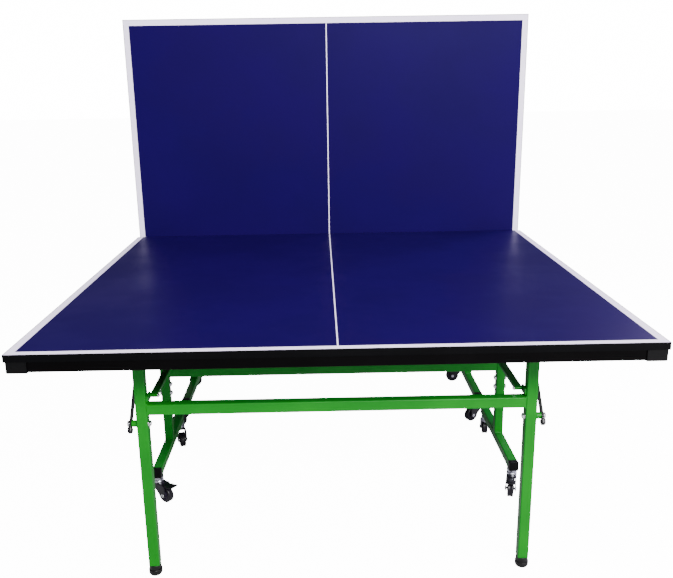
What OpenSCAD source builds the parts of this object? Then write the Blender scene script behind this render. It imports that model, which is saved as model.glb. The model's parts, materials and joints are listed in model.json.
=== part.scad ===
// Folding table tennis table in its one-player position.
// The near half lies flat on its legs and the far half stands upright behind it.
// Each half is a roll-away unit: a trolley on four casters, a hinged top, a leg
// frame, two links that keep the legs upright and two stays that brace them.

/* [Playing surface] */
// Width of the playing surface
table_w = 1525; // [1300:5:1700]
// Length of one half of the table
half_l = 1370; // [1300:5:1700]
// Height of the playing surface above the floor
table_h = 760; // [620:5:920]
// Thickness of the board
board_t = 18; // [12:1:25]
// Thickness of the plastic band round the edge of the board
band_t = 2; // [1:0.5:4]
// Gap between the near half and the upright far half
board_gap = 30; // [15:1:80]

/* [Apron] */
// Height of the steel apron under the board
apron_h = 27; // [20:1:32]
// Width of the flanges of the apron
apron_flange = 20; // [12:1:30]
// Sheet thickness of the apron
apron_wall = 1.5; // [1:0.5:3]
// Distance from the edge of the board in to the apron
apron_inset = 5; // [3.5:0.5:10]
// Length of each arm of a corner cap
cap_arm = 50; // [25:1:80]
// Thickness of a corner cap
cap_t = 3; // [1.5:0.5:3.5]

/* [Under the board] */
// Side of the square tubes welded under the board
brace = 25; // [20:1:30]
// Distance from the middle to each lengthwise tube
brace_x = 300; // [200:5:400]
// Distance from the outer end of a half to its leg hinge
leg_inset = 260; // [200:5:320]
// Distance from the net end of a half to its trolley pivot
pivot_inset = 480; // [440:5:520]
// Gap between a turning tube end and the tubes under the board
swing_gap = 5.8; // [3:0.1:10]

/* [Trolley] */
// Side of the square tubes of the trolleys and legs
tube = 30; // [25:1:35]
// Wall thickness of the square tubes
tube_wall = 2; // [1.5:0.5:3]
// Distance from the middle to each trolley rail and post
post_x = 592; // [585:1:640]
// Length of a rail in front of its post
rail_front = 240; // [220:5:300]
// Length of a rail behind its post
rail_back = 220; // [200:5:300]
// Height of the lower crossbar of the trolley above the rails
low_bar_rise = 236; // [150:1:240]
// Height of the link pivots above the upper crossbar
lug_rise = 28; // [24:1:45]

/* [Casters] */
// Radius of a caster wheel
wheel_r = 28; // [20:1:32]
// Width of a caster wheel
wheel_w = 20; // [14:1:24]
// Distance from the swivel axis to the wheel axle
trail = 32; // [28:1:38]
// Distance from the swivel axis to the end of the rail
stem_inset = 22; // [22:1:40]
// Height of the swivel head above the wheel
head_rise = 11; // [10:1:16]
// Height of the swivel head
head_h = 18; // [12:1:24]
// Height of the cut-out for the wheel and brake inside a fork
fork_gap = 28; // [26:1:32]

/* [Legs] */
// Distance from the middle to each leg
leg_x = 522; // [500:1:530]
// Height of the leg crossbar above the floor, to its middle
leg_bar_z = 510; // [300:5:530]
// Radius of a levelling foot
foot_r = 19; // [15:1:25]
// Height of a levelling foot
foot_h = 34; // [25:1:45]

/* [Links and stays] */
// Width of a link across the table
link_w = 20; // [14:1:24]
// Depth of a link
link_d = 10; // [8:0.5:11]
// Depth of the flat bars of the stays
bar_w = 20; // [16:1:24]
// Thickness of the flat bars of the stays
bar_t = 5; // [3:0.5:6]
// Distance from the leg hinge down to the stay pin
stay_drop = 224; // [180:1:260]
// Distance from the leg hinge to the slide shoe in the playing position
stay_reach = 222; // [180:1:260]
// Distance from the leg to the stay
stay_off = 15.5; // [12:0.5:20]
// Length of the grip on a stay
grip_l = 20; // [16:1:45]

/* [Fasteners and fits] */
// Radius of the trolley pivot bolts
pivot_r = 6; // [4:0.5:8]
// Radius of the bolts of the legs, stays and posts
bolt_r = 5; // [4:0.5:6]
// Radius of the link pins
link_pin_r = 3; // [2.5:0.5:3.5]
// Radius of a caster kingpin
kingpin_r = 5; // [4:0.5:6]
// Radius of a wheel axle
axle_r = 4; // [3:0.5:5]
// Radial clearance of a hole that turns on a bolt
fit = 0.08; // [0.04:0.01:0.1]
// Gap between faces that pass each other
gap = 0.5; // [0.3:0.1:1]

/* [Hidden] */
$fn = 48;
NAVY = [0.10, 0.08, 0.42];
BLACK = [0.05, 0.05, 0.06];
GREEN = [0.05, 0.75, 0.20];
STEEL = [0.78, 0.79, 0.82];

// Under the tubes below the board, a tube end must turn and a folded link must stand
turn_room = max(tube * sqrt(2) / 2 + swing_gap, tube / 2 + link_d + 2 * gap);

// Levels measured up from the floor
pivot_drop = board_t + brace + turn_room;
pivot_z = table_h - pivot_drop;
plate_t = 3;
caster_h = 2 * wheel_r + head_rise + head_h + plate_t + gap;
rail_top = caster_h + tube;
low_bar_z = rail_top + low_bar_rise + tube / 2;

// Places along the table, with the net end of the near half at zero
near_y = -pivot_inset;
far_y = board_gap + pivot_drop;
hinge_span = half_l - leg_inset - pivot_inset;
end_cap_t = 3;
y_low = -half_l;
y_high = far_y + rail_back + end_cap_t;
y_mid = (y_low + y_high) / 2;

// The link pivots stay below the trolley pivots and below the folded feet
link_z = min(pivot_z - 152, hinge_span - 60);
link_drop = pivot_z - link_z;
high_bar_z = link_z - lug_rise - tube / 2;

// Places of the flat parts beside the legs, measured out from the middle
link_x = leg_x - foot_r - 2 * gap - link_w / 2;
stay_x = leg_x + tube / 2 + stay_off + bar_t / 2;
ear_t = 4;
ear_gap = 1.5;
lug_t = 5;
lug_gap = 3;

// A folded link stands midway between the leg crossbar and the tubes under the board
link_off = (tube / 2 + turn_room) / 2;

// The slide shoe of a stay runs under this line, measured up from the leg hinge
shoe_r = 9;
shoe_rise = pivot_drop - board_t - brace - 4;
track_wall = 2;
track_in = 16;
track_lip = 20;
stay_l = sqrt(pow(stay_reach, 2) + pow(stay_drop + shoe_rise, 2));
stay_play = atan2(stay_drop + shoe_rise, stay_reach);
stay_folded = asin(shoe_rise / stay_l) - 90;
grip_in = 8;

// Rest headings of the trailing wheels: front left, front right, rear left, rear right
NEAR_HEADINGS = [-37, -107, -70, 84];
FAR_HEADINGS = [-160, -150, 176, 180];

// ---- Placing -------------------------------------------------------------------
// Every unit is drawn with its trolley pivot above the origin and its outer end
// towards -Y. The far unit is the mirror image, with its top folded upright.

module trolley_place(far) {
    translate([0, (far ? far_y : near_y) - y_mid, 0]) children();
}

module unit_place(far) {
    trolley_place(far) mirror([0, far ? 1 : 0, 0]) children();
}

module top_place(far) {
    unit_place(far)
        translate([0, 0, pivot_z]) rotate([far ? -90 : 0, 0, 0]) children();
}

module leg_place(far) {
    unit_place(far)
        translate(far ? [0, 0, pivot_z + hinge_span] : [0, -hinge_span, pivot_z]) children();
}

module link_place(far) {
    unit_place(far)
        translate([0, link_off, link_z]) rotate([far ? -90 : 0, 0, 0]) children();
}

module stay_place(far) {
    leg_place(far)
        translate([0, 0, -stay_drop]) rotate([far ? stay_folded : stay_play, 0, 0]) children();
}

module both_sides() {
    for (side = [-1, 1]) mirror([side < 0 ? 1 : 0, 0, 0]) children();
}

// ---- Shared shapes -------------------------------------------------------------

// Square tube along Z from the origin, open at both ends
module tube_z(length, side = tube) {
    inner = side - 2 * tube_wall;
    difference() {
        translate([-side / 2, -side / 2, 0]) cube([side, side, length]);
        translate([-inner / 2, -inner / 2, -1]) cube([inner, inner, length + 2]);
    }
}

// Square tube along X, centred, with a vent hole in its lower face
module tube_x(length, side = tube) {
    difference() {
        translate([-length / 2, 0, 0]) rotate([0, 90, 0]) tube_z(length, side);
        vent(side);
    }
}

// Square tube along Y from y0 to y1, with a vent hole in its lower face
module tube_y(y0, y1, side = tube) {
    difference() {
        translate([0, y0, 0]) rotate([-90, 0, 0]) tube_z(y1 - y0, side);
        translate([0, (y0 + y1) / 2, 0]) vent(side);
    }
}

module vent(side) {
    translate([0, 0, -side / 2 - 1]) cylinder(r = 3, h = tube_wall + 2, $fn = 24);
}

// Cylinder along X from x0 to x1
module rod_x(x0, x1, r) {
    translate([x0, 0, 0]) rotate([0, 90, 0]) cylinder(r = r, h = x1 - x0);
}

// Bolt along X with its head at x1 and its nut at x0, where x0 and x1 are the clamped faces
module bolt_x(x0, x1, r) {
    head = 1.2 * r;
    rod_x(x0 - head - 2, x1 + 1, r);
    translate([x1, 0, 0]) rotate([0, 90, 0]) hex(1.75 * r, head);
    translate([x0 - head, 0, 0]) rotate([0, 90, 0]) hex_nut(1.75 * r, head, r);
}

module hex(r, h) {
    cylinder(r = r, h = h, $fn = 6);
}

module hex_nut(r, h, hole) {
    difference() {
        cylinder(r = r, h = h, $fn = 6);
        translate([0, 0, -1]) cylinder(r = hole, h = h + 2);
    }
}

module washer_x(x0, x1, r, hole) {
    difference() {
        rod_x(x0, x1, r);
        rod_x(x0 - 1, x1 + 1, hole);
    }
}

// Flat bar with round ends from y0 to y1, standing in the YZ plane
module flat_bar(y0, y1, t, w = bar_w) {
    translate([-t / 2, 0, 0]) rotate([90, 0, 90]) linear_extrude(t) {
        translate([y0, -w / 2]) square([y1 - y0, w]);
        translate([y0, 0]) circle(r = w / 2);
        translate([y1, 0]) circle(r = w / 2);
    }
}

// ---- Top, drawn from the trolley pivot, with the playing surface facing +Z -------

out_y = -(half_l - pivot_inset);
in_y = pivot_inset;

// Rectangular ring of the top: edge distance in, width and the two heights
module top_ring(inset, width, z0, z1) {
    half_w = table_w / 2 - inset;
    difference() {
        translate([-half_w, out_y + inset, z0])
            cube([2 * half_w, half_l - 2 * inset, z1 - z0]);
        translate([width - half_w, out_y + inset + width, z0 - 1])
            cube([2 * (half_w - width), half_l - 2 * (inset + width), z1 - z0 + 2]);
    }
}

module board(far) {
    half_w = table_w / 2 - band_t;
    color(NAVY) top_place(far)
        translate([-half_w, out_y + band_t, pivot_drop - board_t])
            cube([2 * half_w, half_l - 2 * band_t, board_t]);
}

module edge_band(far) {
    color(BLACK) top_place(far) top_ring(0, band_t, pivot_drop - board_t, pivot_drop);
}

// Channel that opens inwards
module apron(far) {
    top = pivot_drop - board_t;
    color(BLACK) top_place(far) difference() {
        top_ring(apron_inset, apron_flange, top - apron_h, top);
        top_ring(apron_inset + apron_wall, apron_flange, top - apron_h + apron_wall, top - apron_wall);
    }
}

module corner_caps(far) {
    top = pivot_drop - board_t;
    color(BLACK) top_place(far)
        for (end = [0, 1]) both_sides()
            translate([0, (out_y + in_y) / 2, 0]) mirror([0, end, 0])
                translate([table_w / 2, half_l / 2, top]) corner_cap();
}

// Cap of the corner at the origin: a rounded wall outside the apron and a lip under it
module corner_cap() {
    edge = apron_inset;
    round_r = cap_t + 3;
    difference() {
        translate([0, 0, -apron_h - apron_wall]) linear_extrude(apron_h + apron_wall)
            difference() {
                union() {
                    translate([cap_t - edge - cap_arm, cap_t - edge - cap_arm])
                        square([cap_arm, cap_arm - round_r]);
                    translate([cap_t - edge - cap_arm, cap_t - edge - cap_arm])
                        square([cap_arm - round_r, cap_arm]);
                    translate([cap_t - edge - round_r, cap_t - edge - round_r]) circle(r = round_r);
                }
                translate([-edge - apron_flange - cap_arm, -edge - apron_flange - cap_arm])
                    square([cap_arm, cap_arm]);
            }
        translate([-edge - 2 * cap_arm, -edge - 2 * cap_arm, -apron_h])
            cube([2 * cap_arm, 2 * cap_arm, apron_h + 1]);
    }
}

// Two cross tubes and two lengthwise tubes, with the ears of the hinges and pivots
module underframe(far) {
    brace_z = pivot_drop - board_t - brace / 2;
    cross_l = table_w - 2 * (apron_inset + apron_flange);
    color(BLACK) top_place(far) {
        for (y = [0, -hinge_span]) translate([0, y, brace_z]) tube_x(cross_l, brace);
        both_sides() translate([brace_x, 0, brace_z]) tube_y(brace / 2 - hinge_span, -brace / 2, brace);
        both_sides() pivot_ears();
        both_sides() translate([0, -hinge_span, 0]) hinge_ears();
    }
}

// Pair of ears either side of a tube of the trolley or leg, with a bolt hole
module ears(x, spacing, hole_r) {
    top = pivot_drop - board_t - brace;
    for (dir = [-1, 1])
        translate([x + dir * (tube / 2 + spacing + ear_t / 2), 0, 0]) difference() {
            translate([-ear_t / 2, -18, -16]) cube([ear_t, 36, top + 16]);
            rod_x(-ear_t, ear_t, hole_r);
        }
}

module pivot_ears() {
    ears(post_x, lug_gap, pivot_r + fit);
}

module hinge_ears() {
    ears(leg_x, ear_gap, bolt_r + fit);
}

// Channels that open downwards, for the slide shoes of the stays, on spacers under the board
module stay_tracks(far) {
    web_z = shoe_rise + bar_w / 2 + gap;
    y0 = 24 - hinge_span;
    y1 = -24;
    outer = track_in + 2 * track_wall;
    color(BLACK) top_place(far) both_sides() translate([stay_x, 0, 0]) {
        difference() {
            translate([-outer / 2, y0, web_z + track_wall - track_lip]) cube([outer, y1 - y0, track_lip]);
            translate([-track_in / 2, y0 - 1, web_z - track_lip]) cube([track_in, y1 - y0 + 2, track_lip]);
        }
        for (y = [y0, (y0 + y1) / 2 - 15, y1 - 30])
            translate([-outer / 2, y, web_z + track_wall])
                cube([outer, 30, pivot_drop - board_t - web_z - track_wall]);
    }
}

module hinge_bolts(far) {
    pivot_half = tube / 2 + lug_gap + ear_t;
    hinge_half = tube / 2 + ear_gap + ear_t;
    color(STEEL) top_place(far) both_sides() {
        bolt_x(post_x - pivot_half, post_x + pivot_half, pivot_r);
        translate([0, -hinge_span, 0]) bolt_x(leg_x - hinge_half, leg_x + hinge_half, bolt_r);
    }
}

// ---- Trolley, drawn from the floor under its pivot -------------------------------

module trolley_frame(far) {
    between = 2 * post_x - tube;
    color(GREEN) trolley_place(far) difference() {
        union() {
            both_sides() {
                translate([post_x, 0, caster_h + tube / 2]) tube_y(-rail_front, rail_back);
                translate([post_x, 0, rail_top]) tube_z(pivot_z + tube / 2 - rail_top);
                link_lugs(far ? -1 : 1);
            }
            for (z = [low_bar_z, high_bar_z]) translate([0, 0, z]) tube_x(between);
        }
        both_sides() {
            translate([0, 0, pivot_z])
                rod_x(post_x - tube, post_x + tube, pivot_r + fit);
            stem_holes();
            for (z = post_bolt_heights()) translate([0, 0, z]) rod_x(post_x - tube, post_x + tube, bolt_r);
        }
    }
}

function post_bolt_heights() = [low_bar_z - tube / 2 - 30, low_bar_z - tube / 2 - 63];

module stem_holes() {
    for (y = stem_places()) translate([post_x, y, caster_h - 1])
        cylinder(r = kingpin_r, h = tube_wall + 2);
}

function stem_places() = [-rail_front + stem_inset, rail_back - stem_inset];

// Two plates on the upper crossbar that carry the inner end of a link, on the net side
module link_lugs(way) {
    y0 = way > 0 ? -8 : -link_off - 9;
    for (dir = [-1, 1])
        translate([link_x + dir * (link_w / 2 + lug_gap + lug_t / 2), 0, 0]) difference() {
            translate([-lug_t / 2, y0, high_bar_z + tube / 2]) cube([lug_t, link_off + 17, lug_rise + 9]);
            translate([0, way * link_off, link_z]) rod_x(-lug_t, lug_t, link_pin_r + fit);
        }
}

module rail_caps(far) {
    inner = tube - 2 * tube_wall - 0.4;
    color(BLACK) trolley_place(far) both_sides() for (end = [0, 1])
        translate([post_x, end == 0 ? -rail_front : rail_back, caster_h + tube / 2])
            mirror([0, 1 - end, 0]) {
                translate([-tube / 2, 0, -tube / 2]) cube([tube, end_cap_t, tube]);
                translate([-inner / 2, -12, -inner / 2]) cube([inner, 12, inner]);
            }
}

// Plates under the rails with the kingpins that the forks turn on
module caster_plates(far) {
    pin_top = caster_h + tube_wall;
    pin_low = 2 * wheel_r + head_rise - 7;
    color(STEEL) trolley_place(far) both_sides() for (y = stem_places())
        translate([post_x, y, 0]) {
            translate([-tube / 2, -19, caster_h - plate_t]) cube([tube, 38, plate_t]);
            translate([0, 0, pin_low]) cylinder(r = kingpin_r, h = pin_top - pin_low);
            translate([0, 0, pin_low]) hex(8, 5);
        }
}

module trolley_bolts(far) {
    half = link_w / 2 + lug_gap;
    color(STEEL) trolley_place(far) both_sides() {
        translate([0, far ? -link_off : link_off, link_z]) {
            bolt_x(link_x - half - lug_t, link_x + half + lug_t, link_pin_r);
            washer_x(link_x - half, link_x - link_w / 2 - gap, 6, link_pin_r);
            washer_x(link_x + link_w / 2 + gap, link_x + half, 6, link_pin_r);
        }
        for (z = post_bolt_heights()) translate([0, 0, z])
            bolt_x(post_x - tube / 2, post_x + tube / 2, bolt_r);
    }
}

// ---- Casters, drawn on the swivel axis with the wheel trailing towards +X ---------

module caster_place(far, index) {
    side = index % 2 == 0 ? -1 : 1;
    headings = far ? FAR_HEADINGS : NEAR_HEADINGS;
    trolley_place(far)
        translate([side * post_x, stem_places()[floor(index / 2)], 0])
            rotate([0, 0, headings[index]]) children();
}

module fork(far, index) {
    cheek_in = wheel_w / 2 + 4;
    cheek_t = 2.5;
    head_z = 2 * wheel_r + head_rise;
    color(BLACK) caster_place(far, index) {
        difference() {
            union() {
                for (side = [-1, 1]) translate([0, side * (cheek_in + cheek_t / 2), 0])
                    cheek(cheek_t, head_z);
                translate([-16, -cheek_in - 1, head_z - 2]) cube([36, 2 * cheek_in + 2, 2]);
                translate([0, 0, head_z]) cylinder(r = 17, h = head_h);
            }
            translate([0, 0, head_z - 3]) cylinder(r = kingpin_r + fit, h = head_h + 6);
        }
        translate([trail, 0, wheel_r]) axle(cheek_in + cheek_t);
    }
}

// One side plate of a fork
module cheek(t, head_z) {
    rotate([90, 0, 0]) translate([0, 0, -t / 2]) linear_extrude(t) difference() {
        union() {
            polygon([[-16, head_z], [trail - 2, head_z - 1], [trail + 10, wheel_r + 12],
                     [trail + 10, wheel_r], [trail - 10, wheel_r], [trail - 14, wheel_r + 8],
                     [-16, head_z - 8]]);
            translate([trail, wheel_r]) circle(r = 10);
        }
        translate([pedal_x, head_z - 5]) circle(r = 2 + fit);
    }
}

// Axle across a fork with round heads outside the cheeks
module axle(half) {
    rotate([90, 0, 0]) {
        translate([0, 0, -half - 1]) cylinder(r = axle_r, h = 2 * half + 2);
        for (side = [-1, 1]) mirror([0, 0, side < 0 ? 1 : 0])
            translate([0, 0, half]) cylinder(r = 6.5, h = 2.5);
    }
}

module wheel(far, index) {
    color([0.12, 0.11, 0.13]) caster_place(far, index)
        translate([trail, 0, wheel_r]) rotate([90, 0, 0]) rotate_extrude() wheel_profile();
}

// Half section of a wheel: rounded tread, thinner web and a hub on the axle
module wheel_profile() {
    w = wheel_w / 2;
    round_r = 4;
    bore = axle_r + 0.06;
    translate([bore, -w - 2]) square([6, 2 * w + 4]);
    translate([bore, 3 - w]) square([wheel_r - 8 - bore, 2 * w - 6]);
    translate([wheel_r - 9, -w]) square([9 - round_r, 2 * w]);
    translate([wheel_r - 9, round_r - w]) square([9, 2 * w - 2 * round_r]);
    for (z = [round_r - w, w - round_r]) translate([wheel_r - round_r, z]) circle(r = round_r);
}

pedal_x = 20;

// Brake lever between the cheeks, with a wide foot paddle past the wheel
module brake(far, index) {
    pivot = 2 * wheel_r + head_rise - 5;
    inside = wheel_w / 2 + 4 - gap;
    color(BLACK) caster_place(far, index) translate([pedal_x, 0, pivot]) {
        rotate([90, 0, 0]) translate([0, 0, -inside]) linear_extrude(2 * inside)
            polygon([[-4, -2], [4, -3], [12, -2], [trail + 14 - pedal_x, -1], [trail + 14 - pedal_x, 3],
                     [6, 3], [-4, 2]]);
        rotate([90, 0, 0]) translate([0, 0, -inside - 3]) cylinder(r = 2, h = 2 * inside + 6);
        rotate([90, 0, 0]) translate([0, 0, -inside - 3]) linear_extrude(2 * inside + 6)
            polygon([[trail + 12.5 - pedal_x, -1], [trail + 44 - pedal_x, 4], [trail + 45 - pedal_x, 7],
                     [trail + 12.5 - pedal_x, 3]]);
    }
}

// ---- Leg frame, drawn from the leg hinge, with a tab on each leg for its link ------

module leg_frame(far) {
    bottom = foot_h + gap - pivot_z;
    inner = tube - 2 * tube_wall;
    tab_x = link_x + link_w / 2 + gap;
    color(GREEN) leg_place(far) difference() {
        union() {
            both_sides() translate([leg_x, 0, bottom]) {
                tube_z(tube / 2 - bottom);
                translate([-inner / 2 - 0.5, -inner / 2 - 0.5, 0]) cube([inner + 1, inner + 1, 8]);
            }
            translate([0, 0, leg_bar_z - pivot_z]) tube_x(2 * leg_x - tube);
            both_sides() {
                translate([0, 0, -stay_drop]) rod_x(leg_x + tube / 2, stay_x - bar_t / 2 - gap, 9);
                translate([tab_x, -10, -link_drop - 10])
                    cube([leg_x - tube / 2 - tab_x, link_off + 18, 20]);
            }
        }
        both_sides() {
            rod_x(leg_x - tube, leg_x + tube, bolt_r + fit);
            translate([0, link_off, -link_drop]) rod_x(leg_x - tube, leg_x, link_pin_r + fit);
            translate([0, 0, -stay_drop]) rod_x(leg_x - tube, stay_x, bolt_r + fit);
            translate([leg_x, 0, bottom - 1]) cylinder(r = bolt_r + fit, h = 10);
        }
    }
}

// Bolts that stay with the legs: those of the links and those of the stays
module leg_bolts(far) {
    color(STEEL) leg_place(far) both_sides() {
        translate([0, link_off, -link_drop])
            bolt_x(link_x - link_w / 2 - gap, leg_x - tube / 2, link_pin_r);
        translate([0, 0, -stay_drop]) bolt_x(leg_x - tube / 2, stay_x + bar_t / 2 + gap, bolt_r);
    }
}

// Levelling foot: a round-bottomed rubber cup with a straight collar and a threaded stem
module foot(far, side) {
    widest = foot_h / 2;
    color(BLACK) leg_place(far) translate([side * leg_x, 0, -pivot_z]) {
        rotate_extrude() {
            intersection() {
                translate([0, widest]) circle(r = foot_r);
                square([foot_r, widest + 2]);
            }
            translate([0, widest]) square([foot_r - 2, foot_h - widest]);
        }
        cylinder(r = bolt_r, h = foot_h + 26);
    }
}

// ---- Links and stays --------------------------------------------------------------

// Flat bars that keep the leg frame parallel to the trolley posts
module links(far) {
    color(BLACK) link_place(far) both_sides() translate([link_x, 0, 0]) difference() {
        flat_bar(-hinge_span, 0, link_w, link_d);
        for (y = [-hinge_span, 0]) translate([0, y, 0]) rod_x(-link_w, link_w, link_pin_r + fit);
    }
}

// Braces from the stay pin on the leg to the slide shoe in the track
module stays(far) {
    color([0.12, 0.14, 0.13]) stay_place(far) both_sides() translate([stay_x, 0, 0]) difference() {
        flat_bar(-grip_in, stay_l, bar_t);
        rod_x(-bar_t, bar_t, bolt_r + fit);
        translate([0, stay_l, 0]) rod_x(-bar_t, bar_t, bolt_r);
    }
}

// Plastic grip on the tongue of each stay, below its pin
module stay_grips(far) {
    color(BLACK) stay_place(far) both_sides() translate([stay_x, 0, 0]) difference() {
        hull() {
            translate([0, -bar_w / 2 - 2, 0]) cube([bar_t + 6, 4, bar_w + 4], center = true);
            translate([0, -grip_l, 0]) rotate([0, 90, 0])
                cylinder(r = 7, h = bar_t + 8, center = true, $fn = 32);
        }
        flat_bar(-grip_in, stay_l, bar_t);
    }
}

// Round shoes on studs at the upper ends of the stays
module stay_shoes(far) {
    color(BLACK) stay_place(far) both_sides() translate([stay_x, stay_l, 0]) {
        for (dir = [0, 1]) mirror([dir, 0, 0]) rod_x(bar_t / 2, track_in / 2 - 1, shoe_r);
        rod_x(-bar_t, bar_t, bolt_r);
    }
}

board(false);  // near_board
edge_band(false);  // near_edge_band
apron(false);  // near_apron
corner_caps(false);  // near_corner_caps
underframe(false);  // near_underframe
stay_tracks(false);  // near_stay_tracks
hinge_bolts(false);  // near_hinge_bolts
trolley_frame(false);  // near_trolley_frame
rail_caps(false);  // near_rail_caps
caster_plates(false);  // near_caster_plates
trolley_bolts(false);  // near_trolley_bolts
fork(false, 0);  // near_fork_front_left
fork(false, 1);  // near_fork_front_right
fork(false, 2);  // near_fork_rear_left
fork(false, 3);  // near_fork_rear_right
wheel(false, 0);  // near_wheel_front_left
wheel(false, 1);  // near_wheel_front_right
wheel(false, 2);  // near_wheel_rear_left
wheel(false, 3);  // near_wheel_rear_right
brake(false, 0);  // near_brake_left
brake(false, 1);  // near_brake_right
leg_frame(false);  // near_leg_frame
leg_bolts(false);  // near_leg_bolts
foot(false, -1);  // near_foot_left
foot(false, 1);  // near_foot_right
links(false);  // near_links
stays(false);  // near_stays
stay_grips(false);  // near_stay_grips
stay_shoes(false);  // near_stay_shoes
board(true);  // far_board
edge_band(true);  // far_edge_band
apron(true);  // far_apron
corner_caps(true);  // far_corner_caps
underframe(true);  // far_underframe
stay_tracks(true);  // far_stay_tracks
hinge_bolts(true);  // far_hinge_bolts
trolley_frame(true);  // far_trolley_frame
rail_caps(true);  // far_rail_caps
caster_plates(true);  // far_caster_plates
trolley_bolts(true);  // far_trolley_bolts
fork(true, 0);  // far_fork_front_left
fork(true, 1);  // far_fork_front_right
fork(true, 2);  // far_fork_rear_left
fork(true, 3);  // far_fork_rear_right
wheel(true, 0);  // far_wheel_front_left
wheel(true, 1);  // far_wheel_front_right
wheel(true, 2);  // far_wheel_rear_left
wheel(true, 3);  // far_wheel_rear_right
brake(true, 0);  // far_brake_left
brake(true, 1);  // far_brake_right
leg_frame(true);  // far_leg_frame
leg_bolts(true);  // far_leg_bolts
foot(true, -1);  // far_foot_left
foot(true, 1);  // far_foot_right
links(true);  // far_links
stays(true);  // far_stays
stay_grips(true);  // far_stay_grips
stay_shoes(true);  // far_stay_shoes
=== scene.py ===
# %% [markdown]
# # A folding table tennis table, finished in Blender
# The sizes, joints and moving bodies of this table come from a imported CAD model. This lesson loads that
# model as a fixed frame and then builds what the eye sees: rounded tubes, pressed sheet metal, moulded
# plastic, casters, bolts and paint. Every CAD piece that has sharp, plain edges is replaced by a modelled
# one of the same size. Nothing is moved, so each new piece rides on the body that it belongs to.

# %% Load the frame
import json
import math

import bmesh
import bpy
from mathutils import Matrix, Vector


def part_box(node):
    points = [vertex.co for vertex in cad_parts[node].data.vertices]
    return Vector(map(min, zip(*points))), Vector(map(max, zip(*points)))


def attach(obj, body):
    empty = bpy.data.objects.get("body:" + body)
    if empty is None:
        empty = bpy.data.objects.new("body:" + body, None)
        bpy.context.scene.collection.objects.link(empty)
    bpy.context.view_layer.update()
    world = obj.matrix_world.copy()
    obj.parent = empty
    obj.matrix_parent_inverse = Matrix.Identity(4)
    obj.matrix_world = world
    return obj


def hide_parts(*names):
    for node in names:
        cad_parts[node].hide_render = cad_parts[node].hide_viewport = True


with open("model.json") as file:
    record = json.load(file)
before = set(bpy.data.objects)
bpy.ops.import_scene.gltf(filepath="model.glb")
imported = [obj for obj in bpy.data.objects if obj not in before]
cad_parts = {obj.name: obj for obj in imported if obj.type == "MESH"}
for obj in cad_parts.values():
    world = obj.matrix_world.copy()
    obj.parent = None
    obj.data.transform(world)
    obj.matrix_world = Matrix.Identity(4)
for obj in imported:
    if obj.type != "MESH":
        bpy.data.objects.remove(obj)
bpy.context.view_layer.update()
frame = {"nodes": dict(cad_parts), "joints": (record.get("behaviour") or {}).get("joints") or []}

MM = 0.001
X, Y, Z = 0, 1, 2

# %% [markdown]
# ## Hands and eyes
# By hand, a modeller adds a primitive, opens it in edit mode, picks faces or edges, and applies an operator
# to them. The helpers below do just that. `box_blank` and `rod_blank` add the primitive, the `pick`
# functions select by place or direction, and the others are the operators that this table needs most.
# An operator acts on all that is selected, so each helper starts by clearing the selection.

# %% Primitives
def clear_selection():
    if bpy.context.object and bpy.context.object.mode != "OBJECT":
        bpy.ops.object.mode_set(mode="OBJECT")
    bpy.ops.object.select_all(action="DESELECT")


def choose(*pieces):
    """Select these pieces and make the first one active."""
    clear_selection()
    for piece in pieces:
        piece.select_set(True)
    bpy.context.view_layer.objects.active = pieces[0]


def set_in_mesh(piece):
    """Put the place, turn and size of a piece into its mesh."""
    choose(piece)
    bpy.ops.object.transform_apply(location=True, rotation=True, scale=True)
    return piece


def box_blank(low, high):
    low, high = Vector(low), Vector(high)
    clear_selection()
    bpy.ops.mesh.primitive_cube_add(size=1, location=(low + high) / 2)
    bpy.context.object.scale = high - low
    return set_in_mesh(bpy.context.object)


def rod_blank(base, axis, radius, length, sides=32):
    """A cylinder that starts at base and runs along axis."""
    base, axis = Vector(base), Vector(axis).normalized()
    clear_selection()
    bpy.ops.mesh.primitive_cylinder_add(
        vertices=sides, radius=radius, depth=length, location=base + axis * length / 2,
        rotation=axis.to_track_quat("Z", "Y").to_euler())
    return set_in_mesh(bpy.context.object)


# %% Picking in edit mode
def open_piece(piece, kind):
    choose(piece)
    bpy.ops.object.mode_set(mode="EDIT")
    bpy.ops.mesh.select_mode(type=kind)
    bpy.ops.mesh.select_all(action="DESELECT")
    return bmesh.from_edit_mesh(piece.data)


def pick_faces(piece, test):
    """Select the faces whose middle and normal pass the test."""
    mesh = open_piece(piece, "FACE")
    for face in mesh.faces:
        face.select_set(bool(test(face.calc_center_median(), face.normal)))
    bmesh.update_edit_mesh(piece.data)


def pick_edges(piece, test):
    """Select the edges whose middle and direction pass the test."""
    mesh = open_piece(piece, "EDGE")
    for edge in mesh.edges:
        start, end = edge.verts[0].co, edge.verts[1].co
        edge.select_set(bool(test((start + end) / 2, (end - start).normalized())))
    bmesh.update_edit_mesh(piece.data)


# %% Operators that the pieces share
def round_edges(piece, test, width, segments=3):
    pick_edges(piece, test)
    bpy.ops.mesh.bevel(offset=width, segments=segments, affect="EDGES")
    clear_selection()


def soften(piece, width, segments=2, angle=40):
    """Break every sharp edge of a piece with a Bevel modifier."""
    choose(piece)
    bpy.ops.object.modifier_add(type="BEVEL")
    bevel = piece.modifiers[-1]
    bevel.width, bevel.segments = width, segments
    bevel.limit_method, bevel.angle_limit = "ANGLE", math.radians(angle)
    bpy.ops.object.modifier_apply(modifier=bevel.name)
    return piece


def slice_off(piece, point, normal):
    """Cut away what lies in front of a plane, and close the cut."""
    open_piece(piece, "FACE")
    bpy.ops.mesh.select_all(action="SELECT")
    bpy.ops.mesh.bisect(plane_co=point, plane_no=normal, use_fill=True, clear_outer=True)
    clear_selection()


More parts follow.
